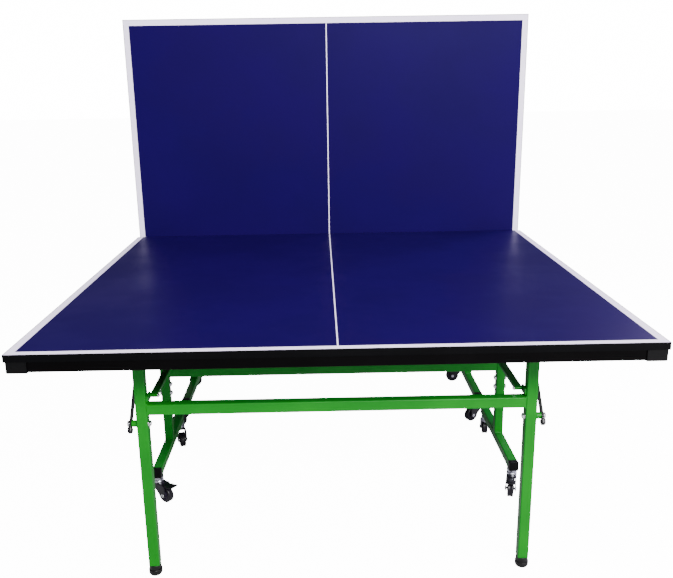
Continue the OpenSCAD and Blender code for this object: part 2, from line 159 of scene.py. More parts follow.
def score(piece, point, normal):
    """Run a row of edges round a piece where a plane crosses it."""
    open_piece(piece, "FACE")
    bpy.ops.mesh.select_all(action="SELECT")
    bpy.ops.mesh.bisect(plane_co=point, plane_no=normal)
    clear_selection()


def remove_faces(piece, test):
    pick_faces(piece, test)
    bpy.ops.mesh.delete(type="FACE")
    clear_selection()


def sink_faces(piece, test, rim, depth):
    """Inset the picked faces by a rim, then push them in (or out, with a depth below zero)."""
    pick_faces(piece, test)
    bpy.ops.mesh.inset(thickness=rim)
    bpy.ops.mesh.extrude_region_shrink_fatten(TRANSFORM_OT_shrink_fatten={"value": -depth})
    clear_selection()


def thicken(piece, wall):
    """Give a sheet its wall, measured inwards."""
    choose(piece)
    bpy.ops.object.modifier_add(type="SOLIDIFY")
    sheet = piece.modifiers[-1]
    sheet.thickness, sheet.offset, sheet.use_even_offset = wall, -1, True
    bpy.ops.object.modifier_apply(modifier=sheet.name)
    return piece


def join(*pieces):
    choose(*pieces)
    bpy.ops.object.join()
    return bpy.context.object


def copied(piece, place):
    """A copy with its own mesh, carried by a matrix that goes into the mesh."""
    choose(piece)
    bpy.ops.object.duplicate()
    copy = bpy.context.object
    copy.matrix_world = place
    set_in_mesh(copy)
    if place.determinant() < 0:
        open_piece(copy, "FACE")
        bpy.ops.mesh.select_all(action="SELECT")
        bpy.ops.mesh.normals_make_consistent(inside=False)
        clear_selection()
    return copy


def moved(piece, place):
    """The piece itself, carried by a matrix that goes into the mesh."""
    piece.matrix_world = place
    return set_in_mesh(piece)


def on_both_sides(piece):
    """A piece and its mirror image across the middle of the table, as one."""
    return join(piece, copied(piece, Matrix.Scale(-1, 4, (1, 0, 0))))


# %% [markdown]
# ## Reading the frame
# The places of the pieces aren't typed in again. The joints give the pivots.

# %% Measuring tools
def spans(node, axis, where, gap=0.03):
    """The stretches along one axis that a node's vertices fill, where the test holds."""
    places = sorted(v.co[axis] for v in frame["nodes"][node].data.vertices if where(v.co))
    runs = [[places[0], places[0]]]
    for place in places:
        if place - runs[-1][1] > gap:
            runs.append([place, place])
        runs[-1][1] = place
    return runs


def solids(node):
    """Lowest and highest corner of each separate solid in a CAD node, left to right."""
    choose(frame["nodes"][node])
    bpy.ops.object.duplicate()
    copy = bpy.context.object
    open_piece(copy, "FACE")
    bpy.ops.mesh.select_all(action="SELECT")
    bpy.ops.mesh.remove_doubles(threshold=0.01 * MM)
    bpy.ops.mesh.separate(type="LOOSE")
    bpy.ops.object.mode_set(mode="OBJECT")
    boxes = []
    for part in list(bpy.context.selected_objects):
        points = [v.co.copy() for v in part.data.vertices]
        boxes.append(tuple(Vector(f(p[i] for p in points) for i in range(3)) for f in (min, max)))
    bpy.ops.object.delete()
    return sorted(boxes, key=lambda b: (b[0].x, b[0].y))


pivot = {joint["name"]: Vector(joint["pos_m"]) for joint in frame["joints"] if "pos_m" in joint}
stay_range = next(j["range_deg"] for j in frame["joints"] if j["name"] == "near_stay_swing")
print("pivots:", {name: tuple(round(v, 4) for v in place) for name, place in pivot.items() if "fold" in name})

# %% [markdown]
# ## One unit, placed twice
# Both halves of the table are the same product. The near half stands in the playing position, and the far
# half is its mirror image with the top folded upright. So each piece is modelled on the near half, where it
# is easy to think about, and a matrix carries a copy to the far half. A folded top turns a right angle
# about its trolley pivot, the legs stay upright, and the stays turn further, as their joint says.

# %% Matrices from the near half to the far half
TIP_UP = Matrix(((1, 0, 0, 0), (0, 0, -1, 0), (0, -1, 0, 0), (0, 0, 0, 1)))
FACE_BACK = Matrix.Scale(-1, 4, (0, 1, 0))


def carried(joint, turn):
    return Matrix.Translation(pivot["far_" + joint]) @ turn @ Matrix.Translation(-pivot["near_" + joint])


stay_turn = Matrix.Rotation(-math.radians(stay_range[1] - stay_range[0]), 4, "X")
TO_FAR = {
    "trolley": Matrix.Translation(pivot["far_fold"] - pivot["near_fold"]),
    "top": carried("fold", TIP_UP),
    "legs": carried("leg_swing", FACE_BACK),
    "foot_left": carried("leg_swing", FACE_BACK),
    "foot_right": carried("leg_swing", FACE_BACK),
    "links": carried("link_swing", TIP_UP),
    "stays": carried("stay_swing", FACE_BACK @ stay_turn),
}
FINISH = {}
made = []


def polish(piece, name, slot, body, *replaced):
    """Shade a piece, give it its finish, and let it ride on its body in place of CAD nodes."""
    choose(piece)
    bpy.ops.object.shade_smooth_by_angle(angle=math.radians(40))
    bpy.ops.object.modifier_add(type="WEIGHTED_NORMAL")
    piece.modifiers[-1].keep_sharp = True
    bpy.ops.object.modifier_apply(modifier=piece.modifiers[-1].name)
    piece.name = piece.data.name = name
    piece.data.materials.clear()
    piece.data.materials.append(FINISH[slot])
    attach(piece, body)
    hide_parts(*replaced)
    made.append((name, len(piece.data.polygons)))


def fit_both_halves(piece, name, slot, group, *replaced):
    """Put a piece on the near half, and a carried copy on the far half."""
    far = copied(piece, TO_FAR[group])
    for unit, one in (("near_", piece), ("far_", far)):
        polish(one, unit + name, slot, unit + group, *[unit + node for node in replaced])


# %% [markdown]
# ## Paint, plastic, zinc and rubber
# No real surface is one flat colour. Three effects turn up on almost every finish of this table, so each is
# a node group that is built once: the grain that a sprayed or moulded surface has, the rubbed paint on
# outer edges, and the dust that settles on what faces up. On the black edge band and apron the paler edges
# are partly rubbing and partly a painted highlight. Each group puts out a mask or a value, and the
# Principled shader stays in the material itself. The patterns read Object coordinates, so they stick to
# their piece when it moves.

# %% Node helpers
def add_node(tree, kind, **settings):
    node = tree.nodes.new(kind)
    for name, value in settings.items():
        setattr(node, name, value)
    return node


def connect(tree, source, target):
    """Link an output to an input, or set the input when the source is a plain value."""
    if hasattr(source, "is_output"):
        tree.links.new(source, target)
    else:
        target.default_value = source


def maths(tree, operation, first, second=0.0):
    node = add_node(tree, "ShaderNodeMath", operation=operation, use_clamp=operation in ("ADD", "MULTIPLY"))
    connect(tree, first, node.inputs[0])
    connect(tree, second, node.inputs[1])
    return node.outputs[0]


def ramp(tree, value, low, high, to_low=0.0, to_high=1.0):
    """Map a value from one range to another, and stop at its ends."""
    node = add_node(tree, "ShaderNodeMapRange", interpolation_type="SMOOTHSTEP")
    for name, end in (("Value", value), ("From Min", low), ("From Max", high), ("To Min", to_low),
                      ("To Max", to_high)):
        connect(tree, end, node.inputs[name])
    return node.outputs["Result"]


def blend_colours(tree, factor, first, second):
    node = add_node(tree, "ShaderNodeMix", data_type="RGBA")
    connect(tree, factor, node.inputs["Factor"])
    connect(tree, first, node.inputs["A"])
    connect(tree, second, node.inputs["B"])
    return node.outputs["Result"]


def noise(tree, vector, scale, detail=2.0):
    node = add_node(tree, "ShaderNodeTexNoise")
    connect(tree, vector, node.inputs["Vector"])
    connect(tree, scale, node.inputs["Scale"])
    node.inputs["Detail"].default_value = detail
    return node.outputs["Fac"]


def new_group(name, inputs, outputs):
    """A shader node group with float or vector inputs and float outputs."""
    group = bpy.data.node_groups.new(name, "ShaderNodeTree")
    for label, kind, value in inputs:
        socket = group.interface.new_socket(label, in_out="INPUT", socket_type=kind)
        if value is not None:
            socket.default_value = value
    for label in outputs:
        group.interface.new_socket(label, in_out="OUTPUT", socket_type="NodeSocketFloat")
    start, end = add_node(group, "NodeGroupInput"), add_node(group, "NodeGroupOutput")
    return group, start.outputs, end.inputs


def use_group(tree, group, **values):
    node = add_node(tree, "ShaderNodeGroup", node_tree=group)
    for name, value in values.items():
        connect(tree, value, node.inputs[name.replace("_", " ")])
    return node.outputs


# %% Group: surface grain
def surface_grain():
    """Fine: the pebbles of a sprayed or moulded skin. Broad: slow cloudiness. Pits: rare small nicks."""
    group, given, out = new_group("surface_grain", [
        ("Vector", "NodeSocketVector", None), ("Fine Scale", "NodeSocketFloat", 900.0),
        ("Broad Scale", "NodeSocketFloat", 6.0)], ["Fine", "Broad", "Pits"])
    fine = noise(group, given["Vector"], given["Fine Scale"], 3.0)
    broad = noise(group, given["Vector"], given["Broad Scale"], 4.0)
    connect(group, ramp(group, fine, 0.3, 0.7), out["Fine"])
    connect(group, ramp(group, broad, 0.32, 0.68), out["Broad"])
    cells = add_node(group, "ShaderNodeTexVoronoi", feature="F1")
    connect(group, given["Vector"], cells.inputs["Vector"])
    cells.inputs["Scale"].default_value = 110.0
    patches = ramp(group, noise(group, given["Vector"], 9.0, 2.0), 0.56, 0.7)
    connect(group, maths(group, "MULTIPLY", ramp(group, cells.outputs["Distance"], 0.11, 0.05), patches),
            out["Pits"])
    return group


# %% Group: worn edges
def worn_and_highlit_edges():
    """1 on outer edges, where hands and floors rub, broken up by noise. On the black edge band and apron
    these pale edges are also a painted highlight.
    """
    group, given, out = new_group("worn_and_highlit_edges", [
        ("Vector", "NodeSocketVector", None), ("Width", "NodeSocketFloat", 0.0015)], ["Mask"])
    bevel = add_node(group, "ShaderNodeBevel", samples=3)
    connect(group, given["Width"], bevel.inputs["Radius"])
    geometry = add_node(group, "ShaderNodeNewGeometry")
    dot = add_node(group, "ShaderNodeVectorMath", operation="DOT_PRODUCT")
    connect(group, bevel.outputs["Normal"], dot.inputs[0])
    connect(group, geometry.outputs["Normal"], dot.inputs[1])
    edge = ramp(group, dot.outputs["Value"], 0.995, 0.93)
    broken = ramp(group, noise(group, given["Vector"], 55.0, 5.0), 0.46, 0.62)
    connect(group, maths(group, "MULTIPLY", edge, broken), out["Mask"])
    return group


# %% Group: settled dust
def settled_dust():
    """Thin patches on surfaces that face up."""
    group, given, out = new_group("settled_dust", [("Vector", "NodeSocketVector", None)], ["Mask"])
    place = add_node(group, "ShaderNodeTexCoord")
    parts = add_node(group, "ShaderNodeSeparateXYZ")
    connect(group, place.outputs["Normal"], parts.inputs[0])
    facing = ramp(group, parts.outputs["Z"], 0.3, 0.95)
    patches = ramp(group, noise(group, given["Vector"], 14.0, 6.0), 0.4, 0.75)
    connect(group, maths(group, "MULTIPLY", facing, patches), out["Mask"])
    return group


GRAIN, EDGE_WEAR_AND_HIGHLIGHT, DUST = surface_grain(), worn_and_highlit_edges(), settled_dust()
print("groups:", GRAIN.name, EDGE_WEAR_AND_HIGHLIGHT.name, DUST.name)

# %% [markdown]
# ## One recipe for the shop finishes
# Powder coat, moulded plastic, zinc plate and rubber differ in their numbers and not in their make-up, so
# one recipe builds them all. The grain varies the colour and the roughness and raises a bump, wear shows
# the metal or the paler plastic on the edges, and dust dulls the top. On the black edge band and apron the
# pale edges are also a painted highlight. What is the same all over, such as the metallic value, is set on
# the shader's own socket.

# %% Shop finish recipe
def shop_finish(slot, colour, shade, roughness, spread, fine=900.0, broad=6.0, bump=0.15, relief=0.00006,
                metallic=0.0, worn_and_highlit=(0.5, 0.5, 0.5), wear_and_highlight=0.0, dust=0.0, stretch=(1, 1, 1),
                coat=0.0, specular=0.5):
    material = bpy.data.materials.new(slot)
    material.use_nodes = True
    tree = material.node_tree
    shader = tree.nodes["Principled BSDF"]
    place = add_node(tree, "ShaderNodeTexCoord").outputs["Object"]
    mapping = add_node(tree, "ShaderNodeMapping")
    mapping.inputs["Scale"].default_value = stretch
    connect(tree, place, mapping.inputs["Vector"])
    grain = use_group(tree, GRAIN, Vector=mapping.outputs["Vector"], Fine_Scale=fine, Broad_Scale=broad)
    speckled = maths(tree, "ADD", maths(tree, "MULTIPLY", grain["Broad"], 0.7),
                     maths(tree, "MULTIPLY", grain["Fine"], 0.3))
    base = blend_colours(tree, speckled, (*colour, 1), (*shade, 1))
    rough = ramp(tree, speckled, 0.0, 1.0, roughness - spread, roughness + spread)
    # Paler edges and nicks: rubbed wear, and on the black edge band and apron also a painted highlight along
    # the edges.
    if wear_and_highlight:
        rubbed_and_highlit = use_group(tree, EDGE_WEAR_AND_HIGHLIGHT, Vector=place, Width=0.0012)["Mask"]
        marks = maths(tree, "MULTIPLY", maths(tree, "ADD", rubbed_and_highlit, grain["Pits"]), wear_and_highlight)
        base = blend_colours(tree, marks, base, (*worn_and_highlit, 1))
    if dust:
        settled = maths(tree, "MULTIPLY", use_group(tree, DUST, Vector=place)["Mask"], dust)
        base = blend_colours(tree, settled, base, (0.42, 0.40, 0.37, 1))
        rough = maths(tree, "ADD", rough, maths(tree, "MULTIPLY", settled, 0.4))
    raised = add_node(tree, "ShaderNodeBump")
    raised.inputs["Strength"].default_value = bump
    raised.inputs["Distance"].default_value = relief
    height = maths(tree, "SUBTRACT", grain["Fine"], grain["Pits"])
    connect(tree, height, raised.inputs["Height"])
    connect(tree, raised.outputs["Normal"], shader.inputs["Normal"])
    connect(tree, base, shader.inputs["Base Color"])
    connect(tree, rough, shader.inputs["Roughness"])
    shader.inputs["Metallic"].default_value = metallic
    shader.inputs["Coat Weight"].default_value = coat
    shader.inputs["Coat Roughness"].default_value = 0.15
    shader.inputs["Specular IOR Level"].default_value = specular
    FINISH[slot] = material


# %% The finishes of the table
shop_finish("green_frame", (0.0, 0.160, 0.006), (0.0, 0.120, 0.005), 0.36, 0.07, fine=700.0, bump=0.35,
            relief=0.00008, worn_and_highlit=(0.02, 0.24, 0.04), wear_and_highlight=0.3, dust=0.01, specular=0.15)
# The pale edges of the edge band and the apron are partly rubbed wear and partly a painted highlight.
shop_finish("edge_band", (0.0003, 0.0003, 0.0005), (0.0007, 0.0007, 0.0011), 0.42, 0.08, fine=1400.0,
            bump=0.25, worn_and_highlit=(0.010, 0.010, 0.013), wear_and_highlight=0.25, specular=0.05)
shop_finish("apron_steel", (0.0002, 0.0001, 0.0002), (0.0005, 0.0003, 0.0005), 0.40, 0.08, fine=800.0,
            bump=0.30, worn_and_highlit=(0.015, 0.013, 0.015), wear_and_highlight=0.2, specular=0.04)
shop_finish("black_plastic", (0.0004, 0.0004, 0.0005), (0.001, 0.001, 0.0013), 0.42, 0.07, fine=1600.0,
            bump=0.45, worn_and_highlit=(0.010, 0.010, 0.012), wear_and_highlight=0.25, dust=0.002, specular=0.10)
shop_finish("black_steel", (0.0008, 0.0010, 0.0008), (0.002, 0.0024, 0.002), 0.38, 0.08, fine=700.0, bump=0.3,
            worn_and_highlit=(0.04, 0.04, 0.045), wear_and_highlight=0.3, dust=0.005, specular=0.15)
shop_finish("dark_stay", (0.006, 0.007, 0.0065), (0.012, 0.013, 0.012), 0.36, 0.08, fine=500.0, broad=9.0,
            bump=0.2, metallic=0.4, worn_and_highlit=(0.20, 0.21, 0.22), wear_and_highlight=0.4, specular=0.3)
shop_finish("zinc_bolts", (0.66, 0.66, 0.70), (0.50, 0.50, 0.55), 0.26, 0.10, fine=500.0, broad=40.0,
            bump=0.25, metallic=1.0, worn_and_highlit=(0.85, 0.85, 0.86), wear_and_highlight=0.4)
shop_finish("zinc_plate", (0.60, 0.60, 0.66), (0.42, 0.42, 0.50), 0.28, 0.10, fine=420.0, broad=30.0,
            bump=0.25, metallic=1.0, worn_and_highlit=(0.85, 0.85, 0.86), wear_and_highlight=0.4, stretch=(1, 1, 0.2))
shop_finish("caster_fork", (0.003, 0.0025, 0.005), (0.007, 0.006, 0.010), 0.32, 0.08, fine=600.0, bump=0.25,
            worn_and_highlit=(0.12, 0.11, 0.14), wear_and_highlight=0.35, dust=0.003, coat=0.1, specular=0.3)
shop_finish("wheel_rubber", (0.0020, 0.0012, 0.0035), (0.005, 0.003, 0.008), 0.42, 0.10, fine=900.0, bump=0.5,
            worn_and_highlit=(0.020, 0.014, 0.026), wear_and_highlight=0.35, dust=0.004, specular=0.3)
shop_finish("nylon", (0.010, 0.007, 0.016), (0.018, 0.013, 0.028), 0.36, 0.08, fine=1500.0, bump=0.3,
            worn_and_highlit=(0.06, 0.05, 0.08), wear_and_highlight=0.3, specular=0.35)
shop_finish("brake_plastic", (0.0012, 0.0010, 0.0022), (0.003, 0.0025, 0.005), 0.36, 0.08, fine=1500.0,
            bump=0.35, worn_and_highlit=(0.02, 0.018, 0.026), wear_and_highlight=0.35, dust=0.002, specular=0.3)
shop_finish("foot_rubber", (0.0008, 0.0007, 0.0009), (0.0018, 0.0016, 0.0019), 0.36, 0.10, fine=1100.0,
            bump=0.5, worn_and_highlit=(0.012, 0.012, 0.013), wear_and_highlight=0.3, specular=0.3)
print("finishes:", sorted(FINISH))

# %% [markdown]
# ## The playing surface
# The board is painted blue with white lines on both sides and the outer end, and a thin line down its
# middle. The paint is rolled and matt, with a fine grain that holds the ball. The underside is plain dark
# hardboard. Lines could be separate thin meshes, but paint has no thickness that the eye sees, so they are
# masks worked out from how far a point is from the edges. Both boards use one group. A Mapping node
# turns each board's own place into shared coordinates: X across, Y from the net edge outwards, and Z up
# from the playing surface.

# %% Group: court lines
def court_lines():
    group, given, out = new_group("court_lines", [
        ("Vector", "NodeSocketVector", None), ("Half Width", "NodeSocketFloat", 0.76),
        ("Length", "NodeSocketFloat", 1.37), ("Line Width", "NodeSocketFloat", 0.02),
        ("Centre Width", "NodeSocketFloat", 0.003)], ["Lines", "Face"])
    parts = add_node(group, "ShaderNodeSeparateXYZ")
    connect(group, given["Vector"], parts.inputs[0])
    across = maths(group, "ABSOLUTE", parts.outputs["X"])
    soft = 0.0004

    def past(value, edge):
        return ramp(group, maths(group, "SUBTRACT", value, edge), -soft, soft)

    side = past(across, maths(group, "SUBTRACT", given["Half Width"], given["Line Width"]))
    end = past(parts.outputs["Y"], maths(group, "SUBTRACT", given["Length"], given["Line Width"]))
    centre = past(maths(group, "MULTIPLY", given["Centre Width"], 0.5), across)
    face = ramp(group, parts.outputs["Z"], -0.0012, -0.0008)
    lines = maths(group, "MAXIMUM", maths(group, "MAXIMUM", side, end), centre)
    connect(group, maths(group, "MULTIPLY", lines, face), out["Lines"])
    connect(group, face, out["Face"])
    return group


COURT = court_lines()


# %% Board material
def board_finish(name, turn, offset, half_width, length, blue, deep):
    """turn and offset bring a board's place to the shared coordinates of the court."""
    material = bpy.data.materials.new(name)
    material.use_nodes = True
    tree = material.node_tree
    shader = tree.nodes["Principled BSDF"]
    place = add_node(tree, "ShaderNodeTexCoord").outputs["Object"]
    mapping = add_node(tree, "ShaderNodeMapping")
    mapping.inputs["Rotation"].default_value = turn[0]
    mapping.inputs["Scale"].default_value = turn[1]
    mapping.inputs["Location"].default_value = offset
    connect(tree, place, mapping.inputs["Vector"])
    court = use_group(tree, COURT, Vector=mapping.outputs["Vector"], Half_Width=half_width, Length=length,
                      Line_Width=0.02, Centre_Width=0.0034)
    grain = use_group(tree, GRAIN, Vector=mapping.outputs["Vector"], Fine_Scale=1300.0, Broad_Scale=3.0)
    paint = blend_colours(tree, maths(tree, "MULTIPLY", grain["Fine"], 0.5), (*blue, 1), (*deep, 1))
    paint = blend_colours(tree, maths(tree, "MULTIPLY", grain["Broad"], 0.35), paint, (*deep, 1))
    line = blend_colours(tree, grain["Broad"], (0.88, 0.80, 1.0, 1), (0.82, 0.74, 0.98, 1))
    top = blend_colours(tree, court["Lines"], paint, line)
    fibres = add_node(tree, "ShaderNodeMapping")
    fibres.inputs["Scale"].default_value = (1.0, 0.25, 1.0)
    connect(tree, mapping.outputs["Vector"], fibres.inputs["Vector"])
    fibre = ramp(tree, noise(tree, fibres.outputs["Vector"], 260.0, 6.0), 0.35, 0.65)
    under = blend_colours(tree, fibre, (0.018, 0.014, 0.012, 1), (0.034, 0.027, 0.023, 1))
    connect(tree, blend_colours(tree, court["Face"], under, top), shader.inputs["Base Color"])
    gloss = ramp(tree, grain["Broad"], 0.0, 1.0, 0.36, 0.44)
    connect(tree, blend_values(tree, court["Face"], 0.7, gloss), shader.inputs["Roughness"])
    raised = add_node(tree, "ShaderNodeBump")
    raised.inputs["Strength"].default_value = 0.12
    raised.inputs["Distance"].default_value = 0.00005
    height = maths(tree, "ADD", maths(tree, "MULTIPLY", grain["Fine"], 0.5),
                   maths(tree, "MULTIPLY", court["Lines"], 0.5))
    connect(tree, height, raised.inputs["Height"])
    connect(tree, raised.outputs["Normal"], shader.inputs["Normal"])
    shader.inputs["Specular IOR Level"].default_value = 0.03
    return material


def blend_values(tree, factor, first, second):
    node = add_node(tree, "ShaderNodeMix", data_type="FLOAT")
    connect(tree, factor, node.inputs["Factor"])
    connect(tree, first, node.inputs["A"])
    connect(tree, second, node.inputs["B"])
    return node.outputs["Result"]


net_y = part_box("near_edge_band")[1].y
near_low, near_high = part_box("near_board")
far_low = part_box("far_board")[0]
half_width = near_high.x
length = near_high.y - near_low.y
BLUE, DEEP = (0.0066, 0.0, 0.056), (0.0036, 0.0, 0.032)
near_paint = board_finish("board_near", ((0, 0, 0), (1, -1, 1)), (0, near_high.y, -near_high.z),
                          half_width, length, BLUE, DEEP)
far_paint = board_finish("board_far", ((-math.pi / 2, 0, 0), (1, 1, 1)), (0, -far_low.z, far_low.y),
                         half_width, length, BLUE, DEEP)
for node, paint in (("near_board", near_paint), ("far_board", far_paint)):
    slots = frame["nodes"][node].data.materials
    slots.clear()
    slots.append(paint)
print("court, mm: half width", round(half_width / MM), "length", round(length / MM))

# %% [markdown]
# ## The edge moulding
# The board is a sheet of wood whose edge is closed by a thin black plastic moulding. It could be a swept
# profile, but a box with its inside taken out is quicker: the top and bottom are inset by the thickness of
# the moulding, the inner faces go, and a bridge closes the ring. The corners get a small radius, as a
# bent strip has.

# %% Edge moulding
band_low, band_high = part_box("near_edge_band")
board_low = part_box("near_board")[0]
band_t = board_low.x - band_low.x


def level(normal):
    return abs(normal.z) > 0.9


def edge_moulding():
    ring = box_blank(band_low, band_high)
    round_edges(ring, lambda middle, way: level(way), 1.8 * MM, 4)
    pick_faces(ring, lambda middle, normal: level(normal))
    bpy.ops.mesh.inset(thickness=band_t)
    bpy.ops.mesh.delete(type="FACE")
    bpy.ops.mesh.select_mode(type="EDGE")
    bpy.ops.mesh.select_non_manifold()
    bpy.ops.mesh.bridge_edge_loops()
    clear_selection()
    return soften(ring, 0.5 * MM, 3)


fit_both_halves(edge_moulding(), "edge_moulding", "edge_band", "top", "edge_band")
print("moulding thickness, mm:", round(band_t / MM, 2))

# %% [markdown]
# ## The apron
# Under the board runs a steel channel that keeps it flat. A real one is bent from sheet, so it is made the
# same shape here: a box loses its middle, the lower outer edges are rounded as a press
# brake rounds them, and the inner side is inset by the sheet's wall and pushed in to make the channel.

# %% Apron
apron_low, apron_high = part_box("near_apron")
flange = 20 * MM
sheet_t = 1.5 * MM
bend_r = 2.5 * MM


def hollow_ring(low, high, width):
    """A frame of one width round an open middle, from a box."""
    ring = box_blank(low, high)
    pick_faces(ring, lambda middle, normal: level(normal))
    bpy.ops.mesh.inset(thickness=width)
    bpy.ops.mesh.delete(type="FACE")
    bpy.ops.mesh.select_mode(type="EDGE")
    bpy.ops.mesh.select_non_manifold()
    bpy.ops.mesh.bridge_edge_loops()
    clear_selection()
    return ring


def apron_channel():
    channel = hollow_ring(apron_low, apron_high, flange)

    def outside(middle):
        return (abs(middle.x) > apron_high.x - 0.1 * MM or middle.y < apron_low.y + 0.1 * MM
                or middle.y > apron_high.y - 0.1 * MM)

    round_edges(channel, lambda middle, way: not level(way) and outside(middle)
                and middle.z < apron_low.z + 0.1 * MM, bend_r, 4)
    pick_faces(channel, lambda middle, normal: abs(normal.z) < 0.1 and not outside(middle))
    bpy.ops.mesh.inset(thickness=sheet_t)
    bpy.ops.mesh.extrude_region_shrink_fatten(
        TRANSFORM_OT_shrink_fatten={"value": sheet_t - flange, "use_even_offset": True})
    clear_selection()
    return channel


fit_both_halves(apron_channel(), "apron_channel", "apron_steel", "top", "apron")

# %% [markdown]
# ## Corner caps
# A moulded plastic cap covers each corner of the apron. It is a thin shell with a rounded outer corner and a
# lip that turns in below. One is modelled on the near right corner and mirrored to the other three.

# %% Corner caps
caps_low, caps_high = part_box("near_corner_caps")
cap_arm = 50 * MM
cap_wall = 2.6 * MM


def corner_cap():
    corner = Vector((caps_high.x, caps_low.y, 0))
    cap = box_blank((corner.x - cap_arm, corner.y, caps_low.z), (corner.x, corner.y + cap_arm, apron_high.z))
    lip = flange + 3 * MM
    score(cap, (corner.x - lip, 0, 0), (1, 0, 0))
    score(cap, (0, corner.y + lip, 0), (0, 1, 0))

    def kept(middle, normal):
        inside = middle.x < corner.x - lip and middle.y > corner.y + lip
        return normal.z > 0.9 or normal.x < -0.9 or normal.y > 0.9 or (normal.z < -0.9 and inside)

    remove_faces(cap, kept)
    round_edges(cap, lambda middle, way: level(way) and (middle - corner).xy.length < 1 * MM, 7 * MM, 6)
    round_edges(cap, lambda middle, way: not level(way) and middle.z < caps_low.z + 0.1 * MM
                and (corner.x - middle.x < 2.2 * MM or middle.y - corner.y < 2.2 * MM
                     or (middle - corner).xy.length < 5 * MM), 2 * MM, 3)
    thicken(cap, cap_wall)
    soften(cap, 0.4 * MM)
    for along in (0.35, 0.75):
        head = rod_blank((corner.x - 11 * MM, corner.y + cap_arm * along, caps_low.z + 0.2 * MM), (0, 0, -1),
                         3.5 * MM, 0.2 * MM, 20)
        cap = join(cap, head)
    return cap


def on_four_corners(piece):
    """Copy a corner piece across the length of the top, then across its width."""
    middle_y = (apron_low.y + apron_high.y) / 2
    across = (Matrix.Translation((0, middle_y, 0)) @ Matrix.Scale(-1, 4, (0, 1, 0))
              @ Matrix.Translation((0, -middle_y, 0)))
    return on_both_sides(join(piece, copied(piece, across)))


fit_both_halves(on_four_corners(corner_cap()), "corner_cap_set", "black_plastic", "top", "corner_caps")
print("pieces so far:", made)

# %% [markdown]
# ## Square tubes and welds
# The frames are welded from square steel tube. A drawn tube has rounded corners, and those corners are what
# catches the light, so each tube is a box with its four long edges bevelled. An open end is inset by the
# wall and pushed in. Where one tube is welded on another, a fillet of weld metal runs round the joint. It is
# a short sleeve whose outer edge is chamfered down to the tube.

# %% Tube and weld builders
tube_corner = 3 * MM
tube_wall = 2 * MM
weld_size = 3 * MM


def tube(low, high, *open_ends):
    """A square tube between two corners. open_ends are directions, such as (0, 0, 1)."""
    low, high = Vector(low), Vector(high)
    size = high - low
    axis = max(range(3), key=lambda i: size[i])
    piece = box_blank(low, high)
    round_edges(piece, lambda middle, way: abs(way[axis]) > 0.9, tube_corner, 3)
    for end in open_ends:
        sink_faces(piece, lambda middle, normal: normal.dot(Vector(end)) > 0.9, tube_wall, 40 * MM)
    return piece


def plate(low, high, axis, corner, edge=0.5 * MM):
    """A flat plate with rounded corners, whose thickness runs along axis."""
    piece = box_blank(low, high)
    round_edges(piece, lambda middle, way: abs(way[axis]) > 0.9, corner, 5)
    return soften(piece, edge)


def weld(low, high, axis, side, spread):
    """The beads on a tube of that cross-section where it meets a face. side is 1 if the tube runs towards
    the positive end of axis, and spread is the axis along which the beads stand proud of the tube."""
    low, high = Vector(low), Vector(high)
    low[spread] -= weld_size
    high[spread] += weld_size
    foot = low[axis] if side > 0 else high[axis]
    low[axis], high[axis] = sorted((foot, foot + side * weld_size))
    bead = box_blank(low, high)
    round_edges(bead, lambda middle, way: abs(way[axis]) > 0.9, tube_corner, 4)
    far_face = foot + side * weld_size
    round_edges(bead, lambda middle, way: abs(middle[axis] - far_face) < 0.1 * MM, 0.9 * weld_size, 3)
    return bead


# %% [markdown]
# ## The trolley frame
# A trolley is two rails on casters, a post on each, and two crossbars. Plates on the upper crossbar carry
# the links. The rails are level with the floor, so their height is read from the ends of the frame.

# %% Trolley frame
frame_low, frame_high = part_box("near_trolley_frame")
rail_z = spans("near_trolley_frame", Z, lambda p: p.y < frame_low.y + 1 * MM)[0]
tube_side = rail_z[1] - rail_z[0]
post_y = pivot["near_fold"].y
post_in = frame_high.x - tube_side
half_side = tube_side / 2


def on_crossbar(p):
    """True for the corners of a crossbar's end, where it meets the post."""
    return (abs(p.x - post_in) < 0.5 * MM and 12 * MM < abs(p.y - post_y) < 16 * MM
            and rail_z[1] + 9 * MM < p.z < frame_high.z - 9 * MM)


bar_levels = spans("near_trolley_frame", Z, on_crossbar)
print("tube side, mm:", round(tube_side / MM, 1), "crossbar levels:", bar_levels)


def trolley_side():
    rail_low, rail_high = (post_in, frame_low.y, rail_z[0]), (frame_high.x, frame_high.y, rail_z[1])
    rail = tube(rail_low, rail_high, (0, 1, 0), (0, -1, 0))
    post_low = Vector((post_in, post_y - half_side, rail_z[1]))
    post_high = Vector((frame_high.x, post_y + half_side, frame_high.z))
    return join(rail, tube(post_low, post_high, (0, 0, 1)), weld(post_low, post_high, Z, 1, Y))


def crossbar(half_length, y, low_z, high_z):
    low, high = Vector((-half_length, y - half_side, low_z)), Vector((half_length, y + half_side, high_z))
    return join(tube(low, high), weld(low, high, X, 1, Z), weld(low, high, X, -1, Z))


def link_plates(node):
    """The lugs of one unit, on the net side of its crossbar. The far ones face the other way."""
    high_bar = bar_levels[-1][1]
    on_bar = lambda p: p.z > high_bar + 1 * MM and 0 < p.x < post_in - 5 * MM
    y_low, y_high = spans(node, Y, on_bar)[0]
    top = spans(node, Z, on_bar)[-1][1]
    sides = []
    for x_low, x_high in spans(node, X, on_bar, 8 * MM):
        lug = box_blank((x_low, y_low, high_bar), (x_high, y_high, top))
        round_edges(lug, lambda middle, way: abs(way.x) > 0.9 and middle.z > top - 1 * MM, 8 * MM, 6)
        bead_low = (x_low - 2 * MM, y_low, high_bar - 1 * MM)
        bead_high = (x_high + 2 * MM, y_high, high_bar + 2 * MM)
        sides += [soften(lug, 0.5 * MM), plate(bead_low, bead_high, Z, 2 * MM, 1.5 * MM)]
    return join(*sides)


